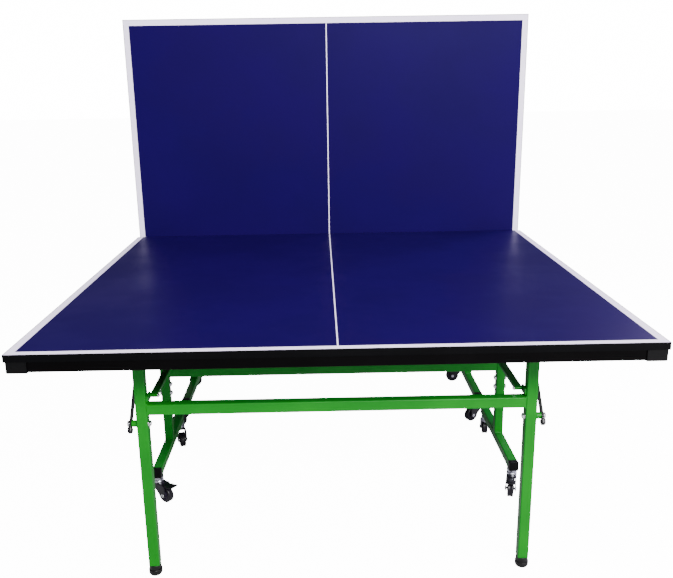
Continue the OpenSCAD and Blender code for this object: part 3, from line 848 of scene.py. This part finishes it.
trolley = join(on_both_sides(trolley_side()), *[crossbar(post_in, post_y, *levels) for levels in bar_levels])
for unit, frame_piece in (("near_", trolley), ("far_", copied(trolley, TO_FAR["trolley"]))):
    lugs = on_both_sides(link_plates(unit + "trolley_frame"))
    welded = join(frame_piece, lugs)
    polish(welded, unit + "trolley_tubes", "green_frame", unit + "trolley", unit + "trolley_frame")

# %% Rail caps
sleeve = 18 * MM
proud = 0.7 * MM


def rail_cap(low, high):
    """A sleeve of plastic over the end of a rail, closed at its outer end."""
    y0, y1 = (low.y, low.y + sleeve) if low.y < post_y else (high.y - sleeve, high.y)
    cap = box_blank((low.x - proud, y0, low.z - proud), (high.x + proud, y1, high.z + proud))
    round_edges(cap, lambda middle, way: abs(way.y) > 0.9, tube_corner, 4)
    return soften(cap, 0.9 * MM, 3)


rail_caps = join(*[rail_cap(*box) for box in solids("near_rail_caps")])
fit_both_halves(rail_caps, "rail_end_caps", "black_plastic", "trolley", "rail_caps")

# %% [markdown]
# ## The leg frame
# Two legs and a crossbar hang from hinges under the outer end of the top. A short bush on the outside of
# each leg keeps the stay clear of it, and a tab on the inside carries the link behind the leg, so that the
# folded link passes the crossbar. The tubes are open at the top, where nobody looks, and end in a foot.

# %% Leg frame
leg_low, leg_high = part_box("near_leg_frame")
leg_y = pivot["near_leg_swing"].y
bush_x = leg_high.x
leg_x = [r for r in spans("near_leg_frame", X, lambda p: p.x > 0 and p.z > leg_high.z - 1 * MM)][0]
leg_bar = spans("near_leg_frame", Z, lambda p: abs(p.x - leg_x[0]) < 0.5 * MM
                and -16 * MM < p.y - leg_y < -12 * MM and leg_low.z + 40 * MM < p.z < leg_high.z - 9 * MM)[0]
stay_pin = pivot["near_stay_swing"]
bush_r = 9 * MM
on_tab = lambda p: 0 < p.x < leg_x[0] - 1 * MM and abs(p.z - pivot["near_link_swing"].z) < 12 * MM
tab_x, tab_y, tab_z = (spans("near_leg_frame", axis, on_tab)[0] for axis in (X, Y, Z))


def leg_side():
    leg = tube((leg_x[0], leg_y - half_side, leg_low.z), (leg_x[1], leg_y + half_side, leg_high.z),
               (0, 0, 1), (0, 0, -1))
    outer_face = (leg_x[1], stay_pin.y, stay_pin.z)
    bush = soften(rod_blank(outer_face, (1, 0, 0), bush_r, bush_x - leg_x[1], 40), 1 * MM)
    bead = soften(rod_blank(outer_face, (1, 0, 0), bush_r + 2.5 * MM, 2 * MM, 40), 1.2 * MM)
    tab = plate((tab_x[0], tab_y[0], tab_z[0]), (leg_x[0], tab_y[1], tab_z[1]), X, 6 * MM)
    return join(leg, bush, bead, tab)


legs = join(on_both_sides(leg_side()), crossbar(leg_x[0], leg_y, *leg_bar))
fit_both_halves(legs, "leg_tubes", "green_frame", "legs", "leg_frame")
print("leg, mm:", [round(v / MM, 1) for v in leg_x], "crossbar:", [round(v / MM, 1) for v in leg_bar])

# %% [markdown]
# ## Levelling feet
# A foot is a rubber cup that screws into the end of the leg. Its bottom is round, so it stands well on a
# floor that isn't flat. A cylinder gets a large bevel below and a small one above, and a scored ring marks
# the collar. The stem is a threaded rod: a row of rings, each drawn in a little.

# %% Feet
foot_low, foot_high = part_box("near_foot_right")
foot_r = (foot_high.x - foot_low.x) / 2
foot_mid = (foot_low + foot_high) / 2
collar_top = leg_low.z - 0.5 * MM


def foot():
    centre = Vector((foot_mid.x, foot_mid.y, 0))
    cup = rod_blank(centre, (0, 0, 1), foot_r, 20 * MM, 48)
    round_edges(cup, lambda middle, way: middle.z < 0.1 * MM, 10.5 * MM, 7)
    round_edges(cup, lambda middle, way: abs(middle.z - 20 * MM) < 0.1 * MM, 1.2 * MM, 3)
    collar = rod_blank(centre + Vector((0, 0, 19 * MM)), (0, 0, 1), foot_r - 2 * MM, collar_top - 19 * MM, 48)
    soften(collar, 1 * MM, 3)
    stem = rod_blank(centre + Vector((0, 0, collar_top - 2 * MM)), (0, 0, 1), 5 * MM,
                     foot_high.z - collar_top + 2 * MM, 24)
    pitch = 2 * MM
    turns = int((foot_high.z - collar_top) / pitch)
    for turn in range(1, turns):
        score(stem, (0, 0, collar_top + turn * pitch), (0, 0, 1))
    pick_edges(stem, lambda middle, way: abs(way.z) < 0.1 and collar_top < middle.z < foot_high.z - 1 * MM
               and round((middle.z - collar_top) / pitch) % 2 == 1)
    bpy.ops.transform.resize(value=(0.86, 0.86, 1), center_override=centre)
    clear_selection()
    return join(cup, collar, stem)


foot_right = foot()
foot_left = copied(foot_right, Matrix.Scale(-1, 4, (1, 0, 0)))
fit_both_halves(foot_right, "rubber_foot_right", "foot_rubber", "foot_right", "foot_right")
fit_both_halves(foot_left, "rubber_foot_left", "foot_rubber", "foot_left", "foot_left")

# %% [markdown]
# ## Under the top
# Two cross tubes and two lengthwise tubes are screwed under the board. Ears on them carry the hinges and
# the trolley pivots. Beside the legs hang the channels in which the stays slide.

# %% Underframe
under_low, under_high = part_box("near_underframe")
at_end = lambda p: p.x < under_low.x + 1 * MM
brace_z = spans("near_underframe", Z, at_end)[0]
cross_y = spans("near_underframe", Y, at_end)
length_x = spans("near_underframe", X, lambda p: abs(p.y - cross_y[1][0]) < 0.5 * MM and abs(p.x) < 450 * MM
                 and p.z > brace_z[0] - 1 * MM)


def ear_plates(middle_y, x_from, x_to):
    below = lambda p: p.z < brace_z[0] - 1 * MM and abs(p.y - middle_y) < 30 * MM and x_from < p.x < x_to
    y_low, y_high = spans("near_underframe", Y, below, 0.05)[0]
    low_z = spans("near_underframe", Z, below, 0.05)[0][0]
    ears = []
    for x_low, x_high in spans("near_underframe", X, below, 5 * MM):
        ear = box_blank((x_low, y_low, low_z), (x_high, y_high, brace_z[0]))
        round_edges(ear, lambda middle, way: abs(way.x) > 0.9 and middle.z < low_z + 1 * MM, 13 * MM, 7)
        bead = plate((x_low - 2 * MM, y_low + 5 * MM, brace_z[0] - 2 * MM),
                     (x_high + 2 * MM, y_high - 5 * MM, brace_z[0] + 1 * MM), Z, 2 * MM, 1.5 * MM)
        ears += [soften(ear, 0.5 * MM), bead]
    return join(*ears)


def underframe():
    cross = [tube((under_low.x, y0, brace_z[0]), (under_high.x, y1, brace_z[1]), (1, 0, 0), (-1, 0, 0))
             for y0, y1 in cross_y]
    lengthwise = []
    for x0, x1 in length_x:
        low, high = Vector((x0, cross_y[0][1], brace_z[0])), Vector((x1, cross_y[1][0], brace_z[1]))
        lengthwise += [tube(low, high)]
        for side in (1, -1):
            bead = weld((x0, low.y, brace_z[0]), (x1, high.y, brace_z[1] - 1 * MM), Y, side, X)
            lengthwise += [bead]
    half_x = under_high.x / 2
    ears = on_both_sides(join(ear_plates(pivot["near_fold"].y, half_x, under_high.x),
                              ear_plates(leg_y, half_x, under_high.x)))
    return join(*cross, *lengthwise, ears)


fit_both_halves(underframe(), "brace_tubes", "black_steel", "top", "underframe")
print("brace tubes, mm:", [[round(v / MM, 1) for v in run] for run in cross_y + length_x])

# %% Slide channels
def slide_channel(low, high):
    """A channel that opens downwards, with its lips turned out, on three spacers."""
    lip = 20 * MM
    spacer = 30 * MM
    web_top = low.z + lip
    channel = box_blank((low.x, low.y, web_top - lip), (high.x, high.y, web_top))
    remove_faces(channel, lambda middle, normal: normal.z < -0.9 or abs(normal.y) > 0.9)
    round_edges(channel, lambda middle, way: abs(way.y) > 0.9 and middle.z > web_top - 1 * MM, 2 * MM, 3)
    thicken(channel, 2 * MM)
    places = (low.y, (low.y + high.y - spacer) / 2, high.y - spacer)
    blocks = [plate((low.x, y, web_top), (high.x, y + spacer, high.z), Z, 3 * MM, 0.6 * MM) for y in places]
    return join(channel, *blocks)


track_boxes = [box for box in solids("near_stay_tracks") if box[0].x > 0]
track_low, track_high = track_boxes[0]
fit_both_halves(on_both_sides(slide_channel(track_low, track_high)), "slide_channels", "black_steel", "top",
                "stay_tracks")

# %% [markdown]
# ## Links, stays and their shoes
# The links are flat steel bars that keep the legs parallel to the trolley posts. The stays brace the legs:
# a stay turns on a pin in the leg, and its shoe runs in the channel under the board. Both bars have round
# ends, made by bevelling four edges of a box by half its width. The grip below the stay pin is a moulded
# bulb with ribs for the fingers.

# %% Flat bars
link_low, link_high = [box for box in solids("near_links") if box[0].x > 0][0]
link = plate(link_low, link_high, X, (link_high.z - link_low.z) / 2 - 0.05 * MM, 0.8 * MM)
fit_both_halves(on_both_sides(link), "link_bars", "green_frame", "links", "links")

bar_low, bar_high = [box for box in solids("near_stays") if box[0].x > 0][0]
bar_t = bar_high.x - bar_low.x
bar_w = 20 * MM

shoe_low, shoe_high = [box for box in solids("near_stay_shoes") if box[0].x > 0][0]
stay_x = (shoe_low.x + shoe_high.x) / 2
pin = Vector((stay_x, stay_pin.y, stay_pin.z))
shoe = (shoe_low + shoe_high) / 2
stay_l = (shoe - pin).length
lean = math.atan2(shoe.z - pin.z, shoe.y - pin.y)
STAY = Matrix.Translation(pin) @ Matrix.Rotation(lean, 4, "X")
grip_in = 8 * MM
grip_l = 20 * MM


def stay_bar():
    """Drawn along Y from its pin, then leaned."""
    bar = plate((-bar_t / 2, -grip_in - bar_w / 2, -bar_w / 2), (bar_t / 2, stay_l + bar_w / 2, bar_w / 2), X,
                bar_w / 2 - 0.05 * MM, 0.5 * MM)
    return bar


def stay_grip():
    """A short bulb that narrows downwards, with two ribs for the fingers."""
    half_t, half_w = bar_t / 2 + 3.8 * MM, bar_w / 2 + 2 * MM
    grip = box_blank((-half_t, -grip_l - 7 * MM, -half_w), (half_t, -bar_w / 2, half_w))
    pick_faces(grip, lambda middle, normal: normal.y < -0.9)
    bpy.ops.transform.resize(value=(1, 1, 0.62), center_override=(0, -grip_l, 0))
    clear_selection()
    soften(grip, 4.5 * MM, 4)
    rib_x, rib_z, rib_t = half_t + 0.3 * MM, 7 * MM, 2 * MM
    ribs = []
    for y in (-20 * MM, -16 * MM):
        ribs.append(soften(box_blank((-rib_x, y, -rib_z), (rib_x, y + rib_t, rib_z)), 0.8 * MM))
    return join(grip, *ribs)


def stay_shoe():
    """A roller each side of the bar, on one stud."""
    radius = (shoe_high.z - shoe_low.z) / 2
    half_x = (shoe_high.x - shoe_low.x) / 2
    rollers = []
    for side in (-1, 1):
        roller = rod_blank((side * bar_t / 2, stay_l, 0), (side, 0, 0), radius, half_x - bar_t / 2, 40)
        sink_faces(roller, lambda middle, normal: normal.x * side > 0.9, 3 * MM, 0.8 * MM)
        rollers.append(soften(roller, 0.7 * MM, 3))
    pin_rod = rod_blank((-half_x, stay_l, 0), (1, 0, 0), 3.5 * MM, 2 * half_x, 24)
    return join(*rollers, soften(pin_rod, 0.5 * MM))


for build, name, slot, node in ((stay_bar, "stay_bars", "dark_stay", "stays"),
                                (stay_grip, "stay_finger_grips", "brake_plastic", "stay_grips"),
                                (stay_shoe, "stay_rollers", "nylon", "stay_shoes")):
    fit_both_halves(on_both_sides(moved(build(), STAY)), name, slot, "stays", node)
print("stay length, mm:", round(stay_l / MM, 1), "lean, degrees:", round(math.degrees(lean), 1))

# %% [markdown]
# ## Bolts
# Every pivot is a zinc-plated hex bolt with a nut and washers. The frame gives the box of each bolt, and
# from that come its length, its size and which end is the head, because heads face outwards. A hexagon is a
# cylinder of six sides, and its corners are chamfered by cutting a bevel round its outer face.

# %% Bolt builder
def hexagon(base, way, across, height):
    """A hex head or nut that starts at base and runs along X, with its outer corners chamfered."""
    nut = rod_blank(base, (way, 0, 0), across, height, 6)
    end = base[0] + way * height
    round_edges(nut, lambda middle, line: abs(middle.x - end) < 0.01 * MM, 0.9 * MM, 2)
    return nut


def bolt(low, high):
    out = 1 if low.x > 0 else -1
    radius = (high.z - low.z) / 2 / 1.75
    head = 1.2 * radius
    y, z = (low.y + high.y) / 2, (low.z + high.z) / 2
    outer, inner = (high.x, low.x) if out > 0 else (low.x, high.x)
    seat = outer - out * head
    tip = inner
    nut_face = tip + out * (2 * MM + head)
    shaft = rod_blank((tip, y, z), (out, 0, 0), radius * 0.96, abs(seat - tip) + 1 * MM, 24)
    round_edges(shaft, lambda middle, line: abs(middle.x - tip) < 0.01 * MM, 1 * MM, 2)
    parts = [shaft, hexagon((seat, y, z), out, 1.72 * radius, head),
             hexagon((nut_face, y, z), -out, 1.72 * radius, head)]
    for face, way in ((seat, -out), (nut_face, out)):
        washer = rod_blank((face - way * 0.9 * MM, y, z), (way, 0, 0), 2.0 * radius, 1.1 * MM, 32)
        parts.append(soften(washer, 0.3 * MM))
    return join(*parts)


longest_ring = 20 * MM


def spacer_ring(low, high):
    """A plain ring between two bars that turn on the same pin."""
    middle, radius = (low + high) / 2, (high.z - low.z) / 2
    ring = rod_blank((low.x, middle.y, middle.z), (1, 0, 0), radius, high.x - low.x, 32)
    return soften(ring, 0.4 * MM)


def fasteners(node):
    """A modelled bolt for each long solid of a set, and a ring for each short one."""
    pieces = []
    for low, high in solids(node):
        shape = bolt if high.x - low.x > longest_ring else spacer_ring
        pieces.append(shape(low, high))
    return join(*pieces)


fit_both_halves(fasteners("near_hinge_bolts"), "hinge_bolt_set", "zinc_bolts", "top", "hinge_bolts")
fit_both_halves(fasteners("near_leg_bolts"), "leg_bolt_set", "zinc_bolts", "legs", "leg_bolts")
for unit in ("near_", "far_"):
    polish(fasteners(unit + "trolley_bolts"), unit + "trolley_bolt_set", "zinc_bolts", unit + "trolley",
           unit + "trolley_bolts")

# %% [markdown]
# ## Casters
# A caster has a plate under the rail, a swivel head with a ring of balls, a pressed fork, a wheel with a
# hard hub and a soft tread, and on the outer casters a brake lever. It is modelled once, with its swivel
# axis at the origin and the wheel trailing towards +X, and then turned to the heading of each caster. The
# heading is the direction from the swivel joint to the wheel joint.

# %% Caster sizes
swivel = pivot["near_swivel_turn_front_left"]
axle = pivot["near_wheel_roll_front_left"]
trail = (axle - swivel).xy.length
wheel_r = axle.z
plate_low = solids("near_caster_plates")[0][0]
rail_bottom = rail_z[0]
plate_t = 3 * MM
head_top = rail_bottom - plate_t - 0.5 * MM
head_h = 18 * MM
fork_top = head_top - head_h
cheek_out = 16.5 * MM
sheet = 2.5 * MM
print("wheel radius, mm:", round(wheel_r / MM, 1), "trail:", round(trail / MM, 1))


# %% Fork and swivel head
def fork_shell():
    """A box cut to the side view of the fork, opened below, bent at the top and given its sheet wall."""
    shell = box_blank((-16 * MM, -cheek_out, wheel_r - 9 * MM), (trail + 10 * MM, cheek_out, fork_top))
    slice_off(shell, (-16 * MM, 0, fork_top - 8 * MM), (-33, 0, -36))
    slice_off(shell, (trail - 2 * MM, 0, fork_top), (25, 0, 12))
    round_edges(shell, lambda middle, way: abs(way.y) > 0.9 and middle.z < wheel_r, 7.5 * MM, 6)
    round_edges(shell, lambda middle, way: abs(way.y) > 0.9 and middle.z > wheel_r, 3 * MM, 4)
    remove_faces(shell, lambda middle, normal: abs(normal.y) < 0.5 and (normal.z < 0.97))
    round_edges(shell, lambda middle, way: abs(way.x) > 0.9 and middle.z > fork_top - 0.1 * MM, 3.5 * MM, 4)
    thicken(shell, sheet)
    return soften(shell, 0.4 * MM)


def swivel_head():
    """Two cups with a ball race between them."""
    lower = rod_blank((0, 0, fork_top - 0.5 * MM), (0, 0, 1), 17 * MM, 8 * MM, 48)
    round_edges(lower, lambda middle, way: abs(middle.z - fork_top - 7.5 * MM) < 0.1 * MM, 3 * MM, 4)
    race = soften(rod_blank((0, 0, fork_top + 6 * MM), (0, 0, 1), 14.5 * MM, 6 * MM, 48), 0.6 * MM)
    upper = rod_blank((0, 0, fork_top + 9.5 * MM), (0, 0, 1), 17 * MM, head_top - fork_top - 9.5 * MM, 48)
    round_edges(upper, lambda middle, way: middle.z < fork_top + 9.6 * MM, 3 * MM, 4)
    sink_faces(upper, lambda middle, normal: normal.z > 0.9, 3 * MM, 0.5 * MM)
    return join(soften(lower, 0.3 * MM), race, soften(upper, 0.3 * MM))


def axle_pin():
    pin_rod = rod_blank((trail, -cheek_out - 1 * MM, wheel_r), (0, 1, 0), 4 * MM, 2 * cheek_out + 2 * MM, 24)
    ends = []
    for side in (-1, 1):
        end = rod_blank((trail, side * cheek_out, wheel_r), (0, side, 0), 6.5 * MM, 2.5 * MM, 32)
        round_edges(end, lambda middle, way: abs(middle.y) > cheek_out + 2.4 * MM, 1.8 * MM, 4)
        ends.append(end)
    return join(pin_rod, *ends)


# %% Wheel
wheel_half = 10 * MM
hub_r = 19 * MM


def sideways(normal):
    return abs(normal.y) > 0.9


def tread():
    """The soft ring: a cylinder with its middle taken out, rounded shoulders and a groove down its centre."""
    ring = rod_blank((trail, -wheel_half, wheel_r), (0, 1, 0), wheel_r, 2 * wheel_half, 64)
    pick_faces(ring, lambda middle, normal: sideways(normal))
    bpy.ops.mesh.inset(thickness=wheel_r - hub_r)
    bpy.ops.mesh.delete(type="FACE")
    bpy.ops.mesh.select_mode(type="EDGE")
    bpy.ops.mesh.select_non_manifold()
    bpy.ops.mesh.bridge_edge_loops()
    clear_selection()
    centre = Vector((trail, 0, wheel_r))

    def radius(middle):
        return (Vector((middle.x, 0, middle.z)) - centre).length

    round_edges(ring, lambda middle, way: abs(abs(middle.y) - wheel_half) < 0.1 * MM
                and radius(middle) > wheel_r - 1 * MM, 4 * MM, 5)
    for place in (-2.2, -1.2, 1.2, 2.2):
        score(ring, (0, place * MM, 0), (0, 1, 0))
    pick_faces(ring, lambda middle, normal: radius(middle) > wheel_r - 1 * MM
               and 1.2 * MM < abs(middle.y) < 2.2 * MM)
    bpy.ops.transform.resize(value=(0.965, 1, 0.965), center_override=centre)
    clear_selection()
    return soften(ring, 0.3 * MM, 2, 50)


def hub():
    """The hard core: a disc with a sunk web, a boss round the axle and six ribs on each side."""
    centre = Vector((trail, 0, wheel_r))
    web = rod_blank((trail, -7.5 * MM, wheel_r), (0, 1, 0), hub_r + 0.5 * MM, 15 * MM, 64)
    sink_faces(web, lambda middle, normal: sideways(normal), 2.5 * MM, 3.5 * MM)
    soften(web, 0.4 * MM)
    boss = soften(rod_blank((trail, -11.8 * MM, wheel_r), (0, 1, 0), 8 * MM, 23.6 * MM, 40), 0.8 * MM, 3)
    rib_y, rib_z = 6.8 * MM, 1 * MM
    rib = box_blank((trail + 6 * MM, -rib_y, wheel_r - rib_z),
                    (trail + hub_r - 1 * MM, rib_y, wheel_r + rib_z))
    soften(rib, 0.5 * MM)
    ribs = [rib]
    for step in range(1, 6):
        around = Matrix.Rotation(math.tau * step / 6, 4, "Y")
        ribs.append(copied(rib, Matrix.Translation(centre) @ around @ Matrix.Translation(-centre)))
    return join(web, boss, *ribs)


# %% Brake lever
pedal_x = 20 * MM
pedal_z = fork_top - 5 * MM


def brake_lever():
    """An arm between the cheeks, and a wide paddle that is tipped up and ribbed for the shoe."""
    arm_y = 13 * MM
    arm = box_blank((pedal_x - 4 * MM, -arm_y, pedal_z - 2.2 * MM),
                    (trail + 15 * MM, arm_y, pedal_z + 3 * MM))
    soften(arm, 1 * MM, 3)
    start, end = trail + 12.5 * MM, trail + 44.5 * MM
    paddle = box_blank((start, -16.2 * MM, pedal_z - 1 * MM), (end, 16.2 * MM, pedal_z + 2.6 * MM))
    for share in (0.3, 0.6):
        score(paddle, (start + share * (end - start), 0, 0), (1, 0, 0))
    for share, lift in ((0.6, 1.5), (1.0, 3.0)):
        edge_x = start + share * (end - start)
        pick_edges(paddle, lambda middle, way: abs(way.x) < 0.1 and middle.x > edge_x - 0.1 * MM)
        bpy.ops.transform.translate(value=(0, 0, lift * MM))
        clear_selection()
    round_edges(paddle, lambda middle, way: abs(way.z) > 0.9 and middle.x > end - 1 * MM, 6 * MM, 5)
    soften(paddle, 0.9 * MM, 3)
    ribs = []
    for step in range(4):
        x = end - (5 + 5 * step) * MM
        z = pedal_z + 2.2 * MM + (3.6 - 0.75 * step) * MM
        rib = box_blank((x, -12 * MM, z - 1.2 * MM), (x + 2 * MM, 12 * MM, z + 1.0 * MM))
        ribs.append(soften(rib, 0.5 * MM))
    pin_rod = rod_blank((pedal_x, -cheek_out, pedal_z), (0, 1, 0), 2 * MM, 2 * cheek_out, 20)
    return join(arm, paddle, soften(pin_rod, 0.4 * MM), *ribs)


# %% Caster plate
def mounting_plate():
    """The plate that is welded under the rail, and the kingpin with its nut."""
    plate_x, plate_y = half_side - 0.5 * MM, 19 * MM
    top = plate((-plate_x, -plate_y, rail_bottom - plate_t), (plate_x, plate_y, rail_bottom),
                Z, 4 * MM, 0.4 * MM)
    kingpin = rod_blank((0, 0, plate_low.z), (0, 0, 1), 5 * MM, rail_bottom - plate_low.z, 24)
    nut = rod_blank((0, 0, plate_low.z), (0, 0, 1), 8 * MM, 5 * MM, 6)
    round_edges(nut, lambda middle, way: middle.z < plate_low.z + 0.1 * MM, 0.9 * MM, 2)
    beads = []
    for y in (-plate_y, plate_y):
        bead = box_blank((-14 * MM, y - 1.5 * MM, rail_bottom - 2.5 * MM),
                         (14 * MM, y + 1.5 * MM, rail_bottom + 0.5 * MM))
        beads.append(soften(bead, 1.2 * MM, 3))
    return join(top, kingpin, nut, *beads)


# %% Eight casters
PATTERNS = {"fork": fork_shell(), "head": swivel_head(), "axle": axle_pin(), "tread": tread(), "hub": hub(),
            "brake": brake_lever(), "plate": mounting_plate()}
CORNERS = ("front_left", "front_right", "rear_left", "rear_right")
for unit in ("near_", "far_"):
    plates = []
    for corner in CORNERS:
        axis_at = pivot[unit + "swivel_turn_" + corner]
        wheel_at = pivot[unit + "wheel_roll_" + corner]
        heading = math.atan2(wheel_at.y - axis_at.y, wheel_at.x - axis_at.x)
        stand = Matrix.Translation((axis_at.x, axis_at.y, 0))
        turned = stand @ Matrix.Rotation(heading, 4, "Z")
        fork_body, wheel_body = unit + "swivel_" + corner, unit + "wheel_" + corner
        polish(copied(PATTERNS["fork"], turned), f"{unit}fork_shell_{corner}", "caster_fork", fork_body,
               f"{unit}fork_{corner}")
        polish(copied(PATTERNS["head"], turned), f"{unit}swivel_head_{corner}", "zinc_plate", fork_body)
        polish(copied(PATTERNS["axle"], turned), f"{unit}axle_{corner}", "zinc_bolts", fork_body)
        polish(copied(PATTERNS["tread"], turned), f"{unit}tread_{corner}", "wheel_rubber", wheel_body,
               f"{unit}wheel_{corner}")
        polish(copied(PATTERNS["hub"], turned), f"{unit}hub_{corner}", "nylon", wheel_body)
        if corner.startswith("front"):
            side = corner.split("_")[1]
            polish(copied(PATTERNS["brake"], turned), f"{unit}brake_lever_{side}", "brake_plastic",
                   f"{unit}brake_{side}", f"{unit}brake_{side}")
        plates.append(copied(PATTERNS["plate"], stand))
    polish(join(*plates), unit + "mounting_plates", "zinc_plate", unit + "trolley", unit + "caster_plates")
for pattern in PATTERNS.values():
    bpy.data.objects.remove(pattern)
print("pieces made:", len(made), "faces:", sum(count for _, count in made))

# %% [markdown]
# ## The studio
# A product like this is shown on white paper under soft lights. Four soft boxes do it. The key stands high
# in front, so the near board shades the tops of the legs. A wide one hangs above, a small one fills the
# frame from the right, and one behind on the right runs a violet sheen down the near board. The floor is a
# backdrop. Both the floor and the sky are white to the camera and much dimmer to the table, which keeps the
# dark finishes dark.

# %% Floor
def studio_floor():
    clear_selection()
    bpy.ops.mesh.primitive_plane_add(size=60)
    floor = bpy.context.object
    floor.name = "studio_floor"
    material = bpy.data.materials.new("studio_paper")
    material.use_nodes = True
    tree = material.node_tree
    shader = tree.nodes["Principled BSDF"]
    place = add_node(tree, "ShaderNodeTexCoord").outputs["Object"]
    cloud = ramp(tree, noise(tree, place, 0.6, 2.0), 0.3, 0.7)
    connect(tree, blend_colours(tree, cloud, (0.52, 0.52, 0.53, 1), (0.48, 0.48, 0.49, 1)),
            shader.inputs["Base Color"])
    shader.inputs["Roughness"].default_value = 0.9
    shader.inputs["Specular IOR Level"].default_value = 0.1
    seen = add_node(tree, "ShaderNodeLightPath").outputs["Is Camera Ray"]
    shader.inputs["Emission Color"].default_value = (1, 1, 1, 1)
    connect(tree, ramp(tree, seen, 0.0, 1.0, 0.0, 14.0), shader.inputs["Emission Strength"])
    floor.data.materials.append(material)


studio_floor()


# %% Lights
def soft_box(name, place, target, size, power, colour=(1, 1, 1)):
    light = bpy.data.lights.new(name, "AREA")
    light.shape = "RECTANGLE"
    light.size, light.size_y = size
    light.energy = power
    light.color = colour
    lamp = bpy.data.objects.new(name, light)
    bpy.context.scene.collection.objects.link(lamp)
    aim = Vector(target) - Vector(place)
    lamp.matrix_world = Matrix.Translation(place) @ aim.to_track_quat("-Z", "Y").to_matrix().to_4x4()


soft_box("key_box", (1.5, -4.7, 3.4), (0, -0.2, 0.8), (2.5, 1.2), 760)
soft_box("overhead_box", (0, -1.0, 4.2), (0, -0.3, 0.8), (5.0, 4.0), 120)
soft_box("low_box", (3.2, -3.4, 0.9), (0.2, -0.8, 0.4), (1.2, 1.2), 60)
soft_box("right_box", (2.9, 1.9, 2.1), (0.7, -0.9, 0.76), (1.4, 1.8), 110, (0.80, 0.66, 1.0))
world = bpy.data.worlds.new("studio_sky")
bpy.context.scene.world = world
world.use_nodes = True
sky = world.node_tree
paper = sky.nodes["Background"]
seen = add_node(sky, "ShaderNodeLightPath").outputs["Is Camera Ray"]
connect(sky, blend_values(sky, seen, 0.30, 16.0), paper.inputs["Strength"])
paper.inputs["Color"].default_value = (1, 1, 1, 1)

# %% [markdown]
# ## The camera
# The camera stands at eye height in front of the near half, a little left of the middle, and looks slightly
# down. Its place is measured from the net edge of the near half, so it keeps its view of the table wherever
# the frame's origin is.

# %% Camera
camera = bpy.data.cameras.new("camera")
camera.sensor_width = 36.0
camera.lens = 41.06
camera.shift_x, camera.shift_y = 0.0098, 0.0036
viewer = bpy.data.objects.new("camera", camera)
bpy.context.scene.collection.objects.link(viewer)
yaw, tilt, roll = (math.radians(angle) for angle in (0.611, 15.322, 0.91))
viewer.matrix_world = (Matrix.Translation((-0.0341, net_y - 3.0172, 1.3471)) @ Matrix.Rotation(-yaw, 4, "Z")
                       @ Matrix.Rotation(math.radians(90) - tilt, 4, "X") @ Matrix.Rotation(-roll, 4, "Z"))
bpy.context.scene.camera = viewer
print("camera:", [round(v, 3) for v in viewer.location])
